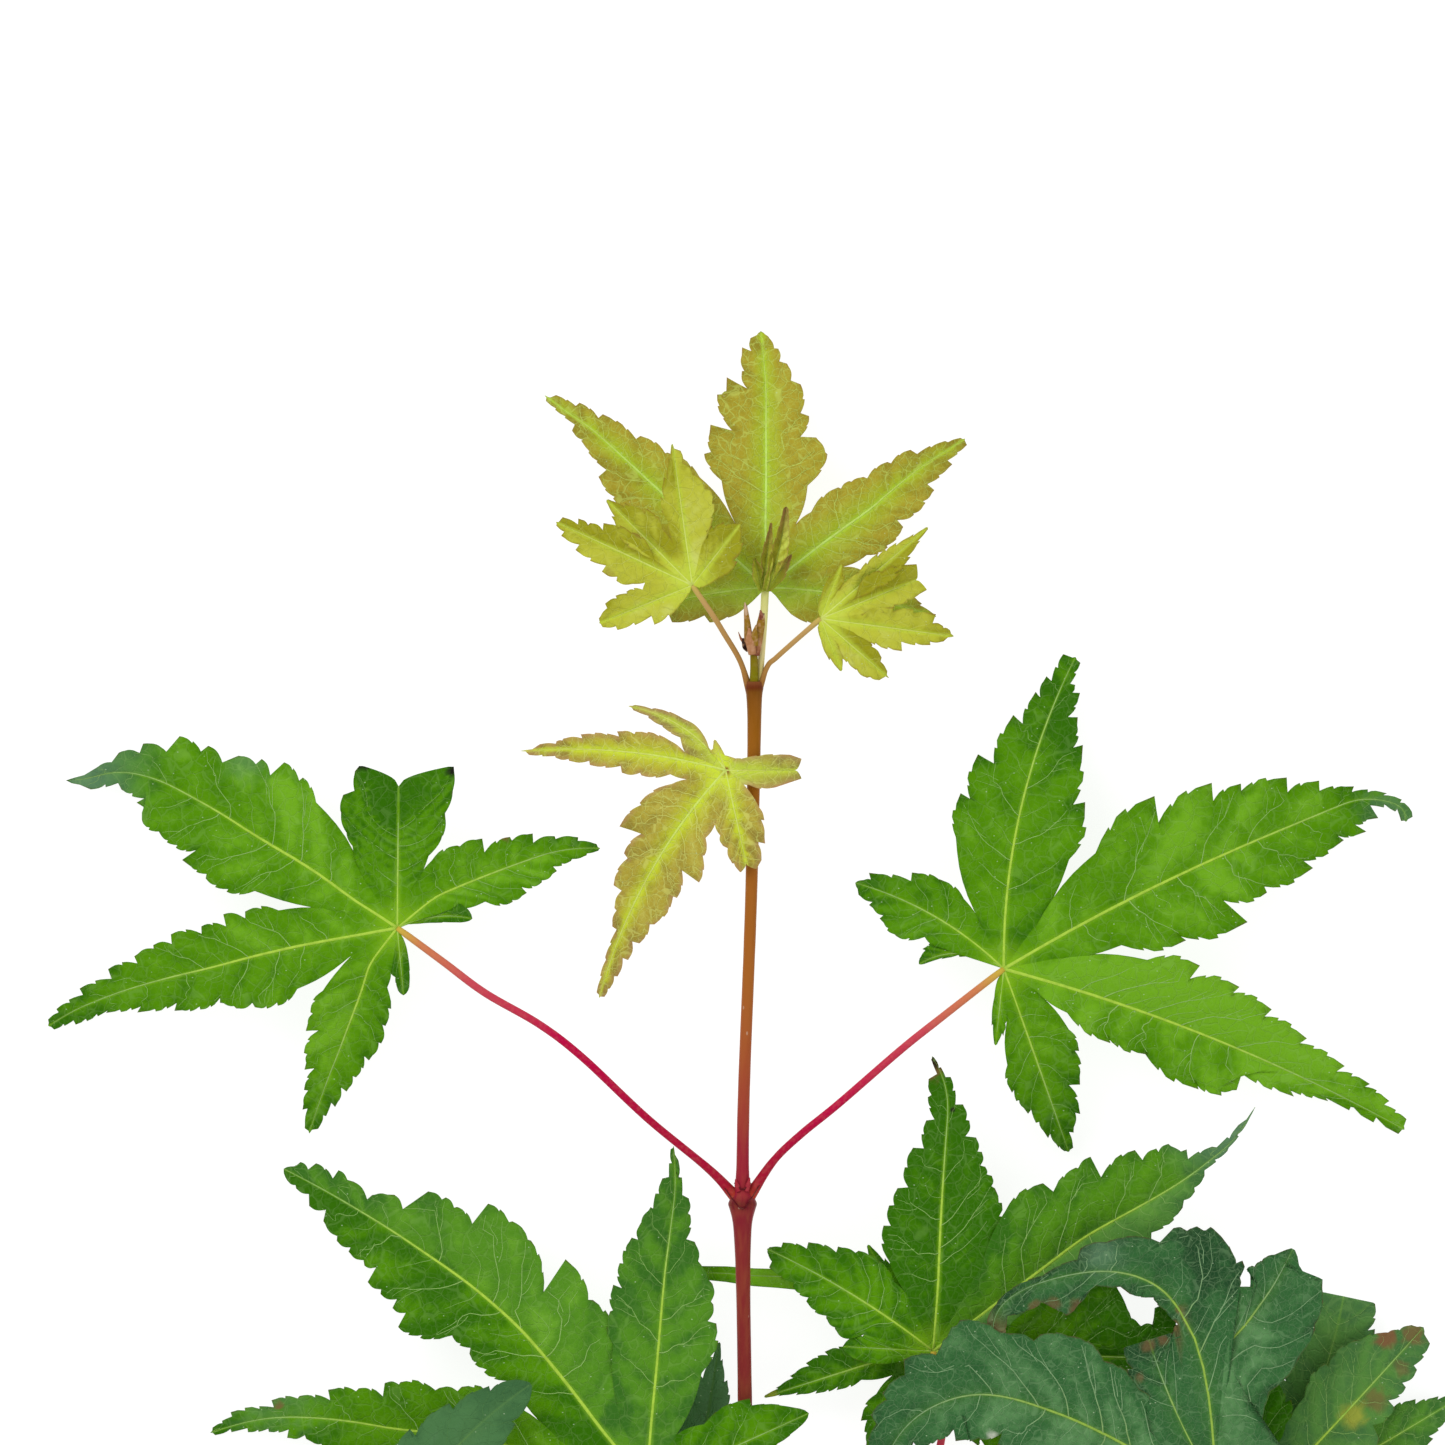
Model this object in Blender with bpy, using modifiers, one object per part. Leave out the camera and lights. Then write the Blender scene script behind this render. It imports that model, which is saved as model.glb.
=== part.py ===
"""A leafy shoot of a young Japanese maple, cut from the plant and laid down with its leaves face up.

The stem runs along +Y from its flat cut to its growing tip, and the leaves spread to both sides
on thin leaf stalks. Each leaf blade, leaf stalk, bud scale and folded leaflet is its own solid.

Sizes are in millimetres and angles in degrees, counter-clockwise from +X seen from above.
Places are measured from the node where the middle pair of leaves grows, and ORIGIN moves them
so that the part's own origin lies on the floor under the middle of the shoot.
"""
import math

import bmesh
import bpy
from mathutils import Vector

MM = 0.001
COLLECTION = "maple_shoot"
ORIGIN = Vector((3.06, 18.31, 0.002))

GAP = 0.3
BLADE_THICK = 0.72
YOUNG_THICK = 0.5
LEAFLET_THICK = 0.3

# The stem: place along Y, place across X, height of its axis and radius
STEM = (
    (-76.7, 0.7, 1.15, 1.15),
    (-63.2, 0.6, 2.1, 1.10),
    (-49.1, 0.6, 4.2, 1.05),
    (-25.2, 0.3, 8.8, 0.93),
    (-12.0, 0.1, 11.2, 0.93),
    (-4.0, 0.0, 12.2, 1.15),
    (-0.5, 0.0, 12.5, 1.35),
    (3.0, 0.0, 12.7, 0.86),
    (15.0, 0.2, 13.1, 0.78),
    (39.0, 1.1, 13.3, 0.78),
    (60.0, 1.5, 13.4, 0.95),
    (67.4, 1.5, 13.6, 1.20),
)
STEM_STEPS = 26
NODE_LOW = -49.1
NODE_DARK = -56.2
NODE_HIDDEN = -63.2
NODE_BACK = -69.5
NODE_MIDDLE = 1.2
NODE_TOP = 67.0

# Teeth on a lobe's edge: half their depth as a share of the half-width, how far their points
# lean forward and stand along their pitch, and where near the lobe's tip they start to shrink
TOOTH_DEPTH = 0.12
TOOTH_LEAN = 0.3
TOOTH_POINT = 0.66
TOOTH_SHRINK = 1.6
CLEFT_ROWS = 2
CLEFT_FADE = 1.5

GREEN = (0.055, 0.222, 0.010, 1.0)
DARK_GREEN = (0.020, 0.110, 0.043, 1.0)
DEEP_GREEN = (0.012, 0.100, 0.015, 1.0)
YOUNG = (0.378, 0.332, 0.045, 1.0)
BRONZE = (0.330, 0.250, 0.050, 1.0)
RED = (0.520, 0.020, 0.070, 1.0)
OLIVE = (0.300, 0.160, 0.030, 1.0)
PALE = (0.500, 0.520, 0.180, 1.0)
STEM_RED = (0.230, 0.040, 0.030, 1.0)
BROWN = (0.290, 0.130, 0.070, 1.0)


def lobe(heading, reach, left, right, tip, bend=0.0, teeth=4, peak=0.36, point=1.6, **more):
    """A lobe's direction, length, half-widths, height at its tip, turn and number of teeth."""
    spec = dict(heading=heading, reach=reach, left=left, right=right, tip=tip, bend=bend)
    spec.update(teeth=teeth, peak=peak, point=point, end=(0.0, 0.0), ahead=0.0)
    spec.update(turns=None, widths=None)
    spec.update(more)
    return spec


# Each blade: its base point, the fold along its ribs, its lobes counter-clockwise from the leaf
# stalk, and the clefts before, between and after them as distance and direction from the base
BLADES = {
    "blade_middle_left": dict(
        base=(-44.8, 35.4, 12.0), colour=GREEN, thick=BLADE_THICK, fold=0.16,
        lobes=(
            lobe(8.6, 8.8, 0.9, 1.3, 11.6, teeth=1),
            lobe(21.0, 28.2, 4.2, 3.7, 8.0, bend=-10.0),
            lobe(89.6, 18.4, 7.4, 7.2, 11.0, teeth=2, peak=0.6, end=(4.8, 7.1), ahead=2.6),
            lobe(157.0, 47.4, 7.5, 9.9, 1.0, bend=43.0, teeth=5),
            lobe(196.3, 46.8, 6.5, 5.8, 0.5, bend=18.0, teeth=5),
            lobe(247.4, 28.8, 4.2, 5.5, 0.5, bend=14.0),
            lobe(275.0, 8.6, 1.3, 0.9, 11.0, teeth=1),
        ),
        clefts=((1.6, 345.0), (7.3, 18.0), (5.7, 69.0), (7.7, 124.0), (7.0, 163.5), (7.0, 211.0),
                (6.0, 262.0), (1.6, 300.0)),
    ),
    "blade_middle_right": dict(
        base=(33.9, 30.1, 12.0), colour=GREEN, thick=BLADE_THICK, fold=0.16,
        lobes=(
            lobe(264.0, 10.0, 1.1, 1.0, 11.0, teeth=1),
            lobe(290.0, 25.8, 4.9, 3.9, 1.5),
            lobe(337.6, 56.4, 7.9, 6.5, 0.5, bend=-18.0, teeth=6),
            lobe(20.4, 57.6, 10.6, 8.4, 1.4, bend=-31.0, teeth=6, point=1.35),
            lobe(76.5, 41.7, 8.8, 8.2, 1.2, bend=-28.0, teeth=5),
            lobe(150.0, 22.2, 3.9, 3.7, 8.0, bend=29.0, teeth=3, peak=0.55, point=0.8),
            lobe(180.0, 10.7, 1.6, 1.5, 10.6, teeth=1),
        ),
        clefts=((1.6, 240.0), (6.5, 274.0), (5.1, 325.0), (6.9, 11.0), (6.8, 53.0), (6.4, 117.0),
                (8.4, 168.0), (1.6, 200.0)),
    ),
    "blade_top_back": dict(
        base=(3.1, 79.6, 12.0), colour=BRONZE, thick=YOUNG_THICK, fold=0.12,
        lobes=(
            lobe(350.3, 22.4, 3.9, 2.6, 9.5, teeth=3),
            lobe(35.6, 32.6, 4.4, 4.9, 1.2, bend=-5.0, teeth=5),
            lobe(92.0, 33.7, 8.2, 7.9, 0.5, bend=10.0, teeth=4, peak=0.42, point=1.5),
            lobe(139.0, 37.7, 4.5, 4.6, 0.8, teeth=5),
            lobe(193.0, 16.3, 2.6, 2.0, 10.0, teeth=2),
        ),
        clefts=((1.6, 318.0), (10.4, 15.0), (9.1, 65.0), (9.2, 116.0), (10.4, 168.0), (1.6, 225.0)),
    ),
    "blade_top_left": dict(
        base=(-6.5, 79.8, 16.6), colour=YOUNG, thick=YOUNG_THICK, fold=0.5,
        lobes=(
            lobe(52.0, 10.1, 2.7, 2.7, 16.8, teeth=3, point=0.8),
            lobe(98.0, 18.5, 2.0, 3.5, 16.2),
            lobe(135.0, 15.7, 2.3, 3.0, 15.6, teeth=3),
            lobe(155.0, 19.5, 2.5, 2.5, 15.0),
            lobe(202.0, 13.0, 2.3, 2.1, 15.4, teeth=3),
        ),
        clefts=((1.2, 340.0), (5.5, 76.0), (5.9, 115.0), (5.9, 146.0), (6.1, 177.0), (1.2, 250.0)),
    ),
    "blade_top_right": dict(
        base=(10.1, 75.5, 16.6), colour=YOUNG, thick=YOUNG_THICK, fold=0.5,
        lobes=(
            lobe(291.5, 7.3, 1.2, 1.2, 15.6, teeth=2),
            lobe(319.0, 11.7, 1.8, 1.8, 15.4, teeth=3),
            lobe(352.5, 17.4, 2.6, 2.6, 15.0),
            lobe(16.7, 13.9, 2.4, 1.4, 15.8, teeth=3),
            lobe(40.4, 18.2, 1.6, 2.1, 16.2),
            lobe(69.0, 7.5, 1.2, 1.2, 16.6, teeth=2),
        ),
        clefts=((1.2, 250.0), (4.0, 303.0), (4.6, 337.0), (5.4, 5.5), (5.2, 30.0), (4.4, 58.0),
                (1.2, 110.0)),
    ),
    "blade_top_front": dict(
        base=(-2.2, 55.9, 14.9), colour=BRONZE, thick=YOUNG_THICK, fold=0.2,
        lobes=(
            lobe(282.4, 13.3, 3.4, 2.3, 15.4, teeth=3),
            lobe(0.0, 8.8, 1.6, 1.6, 15.7, teeth=2),
            lobe(110.0, 4.2, 0.9, 0.8, 14.9, teeth=1),
            lobe(146.6, 15.1, 1.6, 1.3, 13.6, bend=47.0, teeth=3),
            lobe(174.7, 26.8, 2.7, 2.9, 8.6, bend=20.0, teeth=4),
            lobe(241.0, 34.1, 5.0, 5.2, 2.5, bend=28.0, teeth=5),
        ),
        clefts=((3.9, 262.0), (3.0, 322.0), (2.0, 50.0), (3.2, 130.0), (5.8, 156.0), (5.2, 193.0),
                (5.4, 255.0)),
    ),
    "blade_low_left": dict(
        base=(-12.5, -37.2, 11.0), colour=GREEN, thick=BLADE_THICK, fold=0.16,
        lobes=(
            lobe(24.5, 23.1, 3.1, 3.1, 11.6, teeth=3, point=0.8),
            lobe(85.8, 44.3, 6.8, 7.2, 9.4, bend=4.0, teeth=5),
            lobe(139.4, 62.7, 9.4, 9.6, 0.6, bend=33.0, teeth=6),
            lobe(173.6, 57.6, 6.2, 6.2, 0.5, bend=28.0, teeth=6),
            lobe(216.0, 38.0, 6.0, 6.0, 0.5, teeth=5),
            lobe(262.0, 20.0, 4.0, 4.0, 2.6, teeth=3),
        ),
        clefts=((2.0, 345.0), (7.9, 60.0), (10.0, 110.0), (12.6, 152.0), (10.0, 195.0),
                (7.0, 240.0), (2.0, 290.0)),
    ),
    "blade_low_right": dict(
        base=(24.8, -19.6, 10.8), colour=GREEN, thick=BLADE_THICK, fold=0.16,
        lobes=(
            lobe(315.0, 24.0, 4.5, 4.5, 8.4),
            lobe(2.0, 30.0, 5.6, 5.6, 9.2),
            lobe(37.0, 52.5, 8.3, 5.4, 8.0, teeth=5, peak=0.25, point=1.8),
            lobe(90.4, 38.0, 6.6, 7.0, 7.4, teeth=5, turns=((0.0, 89.0), (0.8, 85.0), (1.0, 125.0))),
            lobe(148.6, 25.3, 4.4, 4.0, 9.0, bend=14.0),
            lobe(187.0, 11.4, 2.5, 2.5, 10.4, teeth=1, point=0.6),
        ),
        clefts=((2.0, 278.0), (8.0, 340.0), (10.0, 19.0), (12.1, 60.0), (7.3, 114.0), (7.0, 171.0),
                (2.0, 232.0)),
    ),
    "blade_hooked": dict(
        base=(61.2, -36.7, 16.0), colour=DARK_GREEN, thick=BLADE_THICK, fold=0.1,
        lobes=(
            lobe(285.0, 20.0, 4.5, 4.5, 12.5),
            lobe(335.0, 30.0, 6.0, 5.5, 12.0, teeth=5),
            lobe(71.7, 32.2, 5.0, 5.8, 14.0, teeth=3, point=0.45, peak=0.5),
            lobe(146.9, 32.4, 9.8, 10.6, 15.4, teeth=6,
                 turns=((0.0, 91.0), (0.2, 96.0), (0.33, 104.0), (0.45, 128.0), (0.58, 168.0),
                        (0.68, 187.0), (0.85, 203.0), (0.92, 245.0), (1.0, 290.0)),
                 widths=(((0.06, 9.4), (0.13, 3.0), (0.6, 1.8), (0.85, 2.2), (1.0, 0.0)),
                         ((0.12, 10.6), (0.32, 7.6), (0.5, 4.2), (0.65, 1.6), (1.0, 0.0)))),
            lobe(178.0, 43.3, 6.5, 9.0, 14.0, bend=93.0, teeth=5),
        ),
        clefts=((2.0, 262.0), (7.0, 312.0), (11.0, 20.0), (26.0, 83.0), (13.8, 132.0),
                (3.0, 215.0)),
    ),
    "blade_shaded": dict(
        base=(-48.2, -50.0, 14.2), colour=DEEP_GREEN, thick=BLADE_THICK, fold=0.12,
        lobes=(
            lobe(51.8, 34.2, 5.9, 5.9, 14.6, bend=-36.0),
            lobe(108.0, 16.5, 4.0, 4.0, 12.5, teeth=3),
            lobe(163.0, 22.0, 4.5, 4.5, 10.0),
            lobe(218.0, 25.0, 4.5, 4.5, 8.0),
            lobe(273.0, 17.0, 3.5, 3.5, 10.0, teeth=3),
        ),
        clefts=((2.0, 15.0), (7.6, 82.0), (6.6, 135.0), (6.6, 190.0), (6.0, 246.0), (2.0, 308.0)),
    ),
    "blade_behind_stem": dict(
        base=(-6.8, -42.9, 3.8), colour=DEEP_GREEN, thick=BLADE_THICK, fold=0.1,
        lobes=(
            lobe(27.0, 16.5, 3.3, 3.3, 2.0, teeth=3),
            lobe(81.0, 24.3, 3.6, 3.6, 3.8),
            lobe(135.0, 19.0, 3.6, 3.6, 2.6, teeth=3),
            lobe(190.0, 12.0, 2.8, 2.8, 3.0, teeth=3),
        ),
        clefts=((1.8, 340.0), (5.0, 55.0), (5.6, 108.0), (4.8, 163.0), (1.8, 238.0)),
    ),
    "blade_under": dict(
        base=(23.4, -19.3, 6.4), colour=GREEN, thick=BLADE_THICK, fold=0.1,
        lobes=(
            lobe(118.0, 15.0, 2.6, 2.6, 5.6, teeth=3),
            lobe(161.3, 28.9, 1.5, 1.5, 4.2, bend=41.0, teeth=3),
            lobe(198.0, 21.6, 1.9, 3.1, 4.8),
            lobe(248.0, 17.8, 3.9, 3.9, 4.0, teeth=3),
            lobe(300.0, 15.0, 3.2, 3.2, 4.4, teeth=3),
        ),
        clefts=((2.0, 80.0), (4.2, 139.0), (5.0, 179.0), (5.4, 224.0), (4.8, 274.0), (2.0, 330.0)),
    ),
    "blade_scorched": dict(
        base=(67.5, -39.0, 7.6), colour=GREEN, thick=BLADE_THICK, fold=0.12,
        lobes=(
            lobe(300.0, 18.0, 4.0, 4.0, 4.6, teeth=3),
            lobe(348.0, 26.0, 4.6, 4.6, 4.2),
            lobe(46.5, 30.8, 5.6, 5.2, 4.0, peak=0.5, point=0.7),
            lobe(100.0, 19.5, 3.8, 3.8, 6.0, teeth=3),
        ),
        clefts=((2.0, 270.0), (6.4, 324.0), (7.4, 17.0), (7.0, 73.0), (2.0, 140.0)),
    ),
    "blade_edge": dict(
        base=(67.5, -41.6, 4.0), colour=GREEN, thick=BLADE_THICK, fold=0.1,
        lobes=(
            lobe(292.0, 16.0, 3.6, 3.6, 0.6, teeth=3),
            lobe(340.0, 26.0, 4.6, 4.6, 0.6),
            lobe(30.0, 32.8, 4.4, 4.4, 0.6, teeth=5),
            lobe(64.0, 32.2, 4.4, 5.0, 1.8, teeth=5),
            lobe(112.0, 18.0, 3.6, 3.6, 3.0, teeth=3),
        ),
        clefts=((2.0, 262.0), (5.6, 316.0), (6.6, 5.0), (9.6, 47.0), (6.6, 88.0), (2.0, 150.0)),
    ),
    "leaflet_folded_left": dict(
        base=(2.1, 78.4, 14.4), colour=OLIVE, thick=LEAFLET_THICK, fold=0.7,
        lobes=(lobe(92.0, 10.6, 1.0, 0.9, 15.4, teeth=2),),
        clefts=((0.6, 20.0), (0.6, 164.0)),
    ),
    "leaflet_folded_right": dict(
        base=(3.7, 78.4, 14.4), colour=OLIVE, thick=LEAFLET_THICK, fold=0.7,
        lobes=(lobe(80.0, 12.2, 0.9, 1.1, 15.8, teeth=2),),
        clefts=((0.6, 10.0), (0.6, 152.0)),
    ),
}

# Each leaf stalk: its blade, its place along the stem, the side it leaves on, the points that it
# passes from the stem to the blade, its radii at the blade, midway and at its foot, its colour
STALKS = {
    "stalk_middle_left": ("blade_middle_left", NODE_MIDDLE, -1,
                          ((-15.9, 13.5, 13.2), (-31.5, 25.7, 12.4)), (0.45, 0.5, 0.8), RED),
    "stalk_middle_right": ("blade_middle_right", NODE_MIDDLE, 1,
                           ((7.6, 8.7, 13.2), (25.8, 23.8, 12.2)), (0.45, 0.5, 0.8), RED),
    "stalk_top_left": ("blade_top_left", NODE_TOP, -1, ((-2.5, 73.5, 15.0),), (0.35, 0.36, 0.5), OLIVE),
    "stalk_top_right": ("blade_top_right", NODE_TOP, 1, ((5.0, 71.4, 15.0),), (0.38, 0.4, 0.5), OLIVE),
    "stalk_low_left": ("blade_low_left", NODE_LOW, -1, ((-5.5, -44.0, 7.6),), (0.5, 0.5, 0.75), RED),
    "stalk_low_right": ("blade_low_right", NODE_LOW, 1,
                        ((15.5, -44.0, 6.0), (25.4, -33.2, 8.2)), (0.5, 0.5, 0.75), RED),
    "stalk_shaded": ("blade_shaded", NODE_DARK, -1, ((-23.7, -55.3, 8.6),), (0.5, 0.5, 0.75), RED),
    "stalk_hooked": ("blade_hooked", NODE_DARK, 1,
                     ((20.5, -53.6, 5.8), (45.2, -45.0, 11.4)), (0.5, 0.55, 0.75), RED),
    "stalk_behind_stem": ("blade_behind_stem", NODE_HIDDEN, -1, ((-3.9, -54.6, 2.0),),
                          (0.45, 0.45, 0.6), RED),
    "stalk_scorched": ("blade_scorched", NODE_HIDDEN, 1,
                       ((20.5, -60.5, 2.4), (46.5, -50.7, 3.8)), (0.5, 0.5, 0.7), RED),
    "stalk_under": ("blade_under", NODE_HIDDEN + 2.8, 1,
                    ((8.0, -53.0, 1.4), (17.0, -35.8, 2.0)), (0.45, 0.45, 0.6), RED),
    "stalk_edge": ("blade_edge", NODE_BACK, 1,
                   ((20.5, -67.0, 1.1), (46.5, -57.2, 1.5)), (0.45, 0.45, 0.6), RED),
}
STALK_STEPS = 9
STALK_SLACK = 0.12
STALK_FOOT = 0.18
STALK_NECK = 0.8

# The stalk of the leaf in front passes behind the stem to the top node
FRONT_STALK = ((1.6, 64.6, 11.75), (1.4, 60.5, 11.65), (1.1, 56.6, 11.5), (-0.2, 55.6, 12.1),
               (-1.7, 55.8, 13.6))
FRONT_STALK_RADIUS = 0.35

# The short shoot tip: tubes from point to point with their radii
TIP_INTERNODE = ((2.5, 69.2, 13.9), (2.7, 74.0, 13.7), (2.9, 78.9, 13.4))
TIP_RADII = (0.62, 0.55, 0.55)
BUD_STALK = ((1.2, 69.2, 14.3), (1.3, 71.4, 14.8))
BUD_STALK_RADII = (0.5, 0.5)
BUD_SCALES = {
    "bud_scale_left": (((1.2, 71.9, 15.2), (0.7, 74.0, 15.7), (0.1, 76.6, 16.2)), (0.55, 0.62, 0.12)),
    "bud_scale_right": (((2.6, 72.4, 15.6), (3.3, 74.2, 15.7), (3.2, 76.2, 16.4)), (0.45, 0.5, 0.12)),
}


def clear_scene():
    """Removes what the scene already holds."""
    for thing in list(bpy.data.objects):
        bpy.data.objects.remove(thing, do_unlink=True)


def material(name, colour, roughness):
    """A plain surface with its own base colour."""
    made = bpy.data.materials.new(name)
    made.use_nodes = True
    surface = made.node_tree.nodes["Principled BSDF"]
    surface.inputs["Base Color"].default_value = colour
    surface.inputs["Roughness"].default_value = roughness
    surface.inputs["Metallic"].default_value = 0.0
    return made


def add_object(name, data, colour, roughness, collection):
    """Puts mesh or curve data into the collection as a named object with its own material."""
    thing = bpy.data.objects.new(name, data)
    thing.data.materials.append(material(name + "_surface", colour, roughness))
    collection.objects.link(thing)
    return thing


def in_metres(point):
    """A place in millimetres from the middle node, as metres from the part's origin."""
    return (Vector(point) - ORIGIN) * MM


def direction(degrees):
    """The unit vector in plan that points at an angle from +X."""
    angle = math.radians(degrees)
    return Vector((math.cos(angle), math.sin(angle)))


def between(pairs, at):
    """The value at a place along a list of (place, value) pairs, straight between them."""
    for (start, first), (stop, second) in zip(pairs, pairs[1:]):
        if at <= stop:
            return first + (second - first) * (at - start) / (stop - start)
    return pairs[-1][1]


def smooth_route(points, steps):
    """Evenly dealt points on a smooth curve through the given ones."""
    points = [Vector(point) for point in points]
    padded = [points[0] * 2 - points[1], *points, points[-1] * 2 - points[-2]]
    route = []
    for step in range(steps + 1):
        place = step / steps * (len(points) - 1)
        span = min(int(place), len(points) - 2)
        t = place - span
        before, start, stop, after = padded[span:span + 4]
        route.append(0.5 * (2 * start + (stop - before) * t
                            + (2 * before - 5 * start + 4 * stop - after) * t ** 2
                            + (3 * start - before - 3 * stop + after) * t ** 3))
    return route


class Midrib:
    """A lobe's midrib in plan, walked from the base in short steps while its heading turns."""

    STEPS = 60

    def __init__(self, base, spec):
        turns = spec["turns"]
        if turns is None:
            half = spec["bend"] / 2
            turns = ((0.0, spec["heading"] - half), (1.0, spec["heading"] + half))
        self.turns = turns
        walk = [Vector((0.0, 0.0))]
        for step in range(self.STEPS):
            walk.append(walk[-1] + direction(between(turns, (step + 0.5) / self.STEPS)))
        scale = spec["reach"] / walk[-1].length
        self.points = [Vector(base[:2]) + place * scale for place in walk]

    def at(self, share):
        """The place, forward direction and left-hand direction at a share of the length."""
        place = min(max(share, 0.0), 1.0) * self.STEPS
        step = min(int(place), self.STEPS - 1)
        point = self.points[step].lerp(self.points[step + 1], place - step)
        forward = direction(between(self.turns, share))
        return point, forward, Vector((-forward.y, forward.x))


def half_width(spec, side, share, at_cleft):
    """A lobe side's half-width at a share of the way from its cleft to its tip."""
    if spec["widths"] is not None:
        return between(((0.0, at_cleft), *spec["widths"][0 if side > 0 else 1]), share)
    widest = spec["left"] if side > 0 else spec["right"]
    end = spec["end"][0] if side > 0 else spec["end"][1]
    peak = spec["peak"]
    if share < peak:
        return at_cleft + (widest - at_cleft) * math.sin(0.5 * math.pi * share / peak)
    fall = math.cos(0.5 * math.pi * (share - peak) / (1.0 - peak))
    return end + (widest - end) * max(fall, 0.0) ** spec["point"]


def row_shares(teeth):
    """Where the rows past the cleft lie: each tooth's notch and point, then the lobe's tip."""
    rows = []
    for tooth in range(teeth):
        rows.append((tooth / teeth, -1.0))
        rows.append(((tooth + TOOTH_POINT) / teeth, 1.0))
    rows.append((1.0, 0.0))
    return rows


class Lobe:
    """One lobe of a blade between its right-hand and left-hand clefts."""

    DROOP = 1.5
    CLEFT_SPAN = (0.08, 0.6)

    def __init__(self, blade, spec, right_cleft, left_cleft):
        self.blade = blade
        self.spec = spec
        self.rib = Midrib(blade["base"], spec)
        self.clefts = {1: left_cleft, -1: right_cleft}
        along = direction(self.rib.turns[0][1])
        origin = Vector(blade["base"][:2])
        reach = sum((cleft - origin).dot(along) for cleft in self.clefts.values()) / 2
        self.length = (self.rib.points[1] - self.rib.points[0]).length * Midrib.STEPS
        least, most = self.CLEFT_SPAN
        self.cleft_share = min(max(reach / self.length, least), most)

    def rib_height(self, share):
        """The midrib's height: level at the base and falling ever faster to the tip."""
        low = self.blade["base"][2]
        return low + (self.spec["tip"] - low) * max(share, 0.0) ** self.DROOP

    def offset_at_cleft(self, side):
        """How far the cleft lies to the side of the midrib and ahead of its own row."""
        point, forward, left = self.rib.at(self.cleft_share)
        apart = self.clefts[side] - point
        return side * apart.dot(left), apart.dot(forward)

    def cleft_height(self, side):
        """The height that this side alone gives to its cleft."""
        return self.rib_height(self.cleft_share) + self.blade["fold"] * self.offset_at_cleft(side)[0]

    def rows(self, side, shared_height):
        """The lobe side as rows of two points, from the midrib to the edge."""
        base = Vector(self.blade["base"])
        cleft = Vector((*self.clefts[side], shared_height))
        made = []
        for row in range(CLEFT_ROWS):
            point = self.rib.at(self.cleft_share * row / CLEFT_ROWS)[0]
            rib = Vector((*point, self.rib_height(self.cleft_share * row / CLEFT_ROWS)))
            made.append((rib, base.lerp(cleft, row / CLEFT_ROWS)))
        width_at_cleft, ahead = self.offset_at_cleft(side)
        lift = shared_height - self.cleft_height(side)
        widest = self.spec["left"] if side > 0 else self.spec["right"]
        pitch = self.length * (1.0 - self.cleft_share) / self.spec["teeth"]
        for share, tooth in row_shares(self.spec["teeth"]):
            place = self.cleft_share + (1.0 - self.cleft_share) * share
            point, forward, left = self.rib.at(place)
            width = half_width(self.spec, side, share, width_at_cleft)
            size = min(1.0, TOOTH_SHRINK * width / widest)
            depth = TOOTH_DEPTH * widest * size * (share > 0.0)
            lean = TOOTH_LEAN * pitch * size * (tooth > 0.0)
            onward = ahead * (1.0 - share) ** CLEFT_FADE + self.spec["ahead"] * share ** 3 + lean
            edge = point + left * side * (width + tooth * depth) + forward * onward
            height = self.rib_height(place) + self.blade["fold"] * width + lift * (1.0 - share) ** 2
            made.append((Vector((*point, self.rib_height(place))), Vector((*edge, height))))
        if self.spec["end"] == (0.0, 0.0):
            made[-1] = (made[-1][0], made[-1][0])
        return made


def blade_mesh(name, blade):
    """The blade as one open sheet: two strips of faces for each lobe, joined along the clefts."""
    origin = Vector(blade["base"][:2])
    clefts = [origin + direction(angle) * far for far, angle in blade["clefts"]]
    lobes = [Lobe(blade, spec, clefts[i], clefts[i + 1]) for i, spec in enumerate(blade["lobes"])]
    sheet = bmesh.new()
    for i, piece in enumerate(lobes):
        for side in (-1, 1):
            neighbour = i + side
            heights = [piece.cleft_height(side)]
            if 0 <= neighbour < len(lobes):
                heights.append(lobes[neighbour].cleft_height(-side))
            rows = piece.rows(side, sum(heights) / len(heights))
            corners = [[sheet.verts.new(in_metres(point)) for point in row] for row in rows]
            for (rib, edge), (next_rib, next_edge) in zip(corners, corners[1:]):
                sheet.faces.new((rib, edge, next_edge, next_rib))
    bmesh.ops.remove_doubles(sheet, verts=sheet.verts, dist=0.001 * MM)
    bmesh.ops.recalc_face_normals(sheet, faces=sheet.faces)
    mesh = bpy.data.meshes.new(name)
    sheet.to_mesh(mesh)
    sheet.free()
    return mesh


def add_blade(name, blade, collection):
    """A leaf blade of even thickness."""
    thing = add_object(name, blade_mesh(name, blade), blade["colour"], 0.45, collection)
    skin = thing.modifiers.new("thickness", "SOLIDIFY")
    skin.thickness = blade["thick"] * MM
    skin.offset = 0.0
    return thing


def add_tube(name, route, radii, colour, collection):
    """A round limb along a route, with a radius at each point and flat ends."""
    curve = bpy.data.curves.new(name, "CURVE")
    curve.dimensions = "3D"
    curve.bevel_depth = MM
    curve.bevel_resolution = 2
    curve.use_fill_caps = True
    spline = curve.splines.new("POLY")
    spline.points.add(len(route) - 1)
    for place, point, radius in zip(spline.points, route, radii):
        place.co = (*in_metres(point), 1.0)
        place.radius = radius
    return add_object(name, curve, colour, 0.5, collection)


def stem_at(along):
    """The stem's axis and radius at a place along Y."""
    across = between([(y, x) for y, x, z, r in STEM], along)
    height = between([(y, z) for y, x, z, r in STEM], along)
    radius = between([(y, r) for y, x, z, r in STEM], along)
    return Vector((across, along, height)), radius


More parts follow.
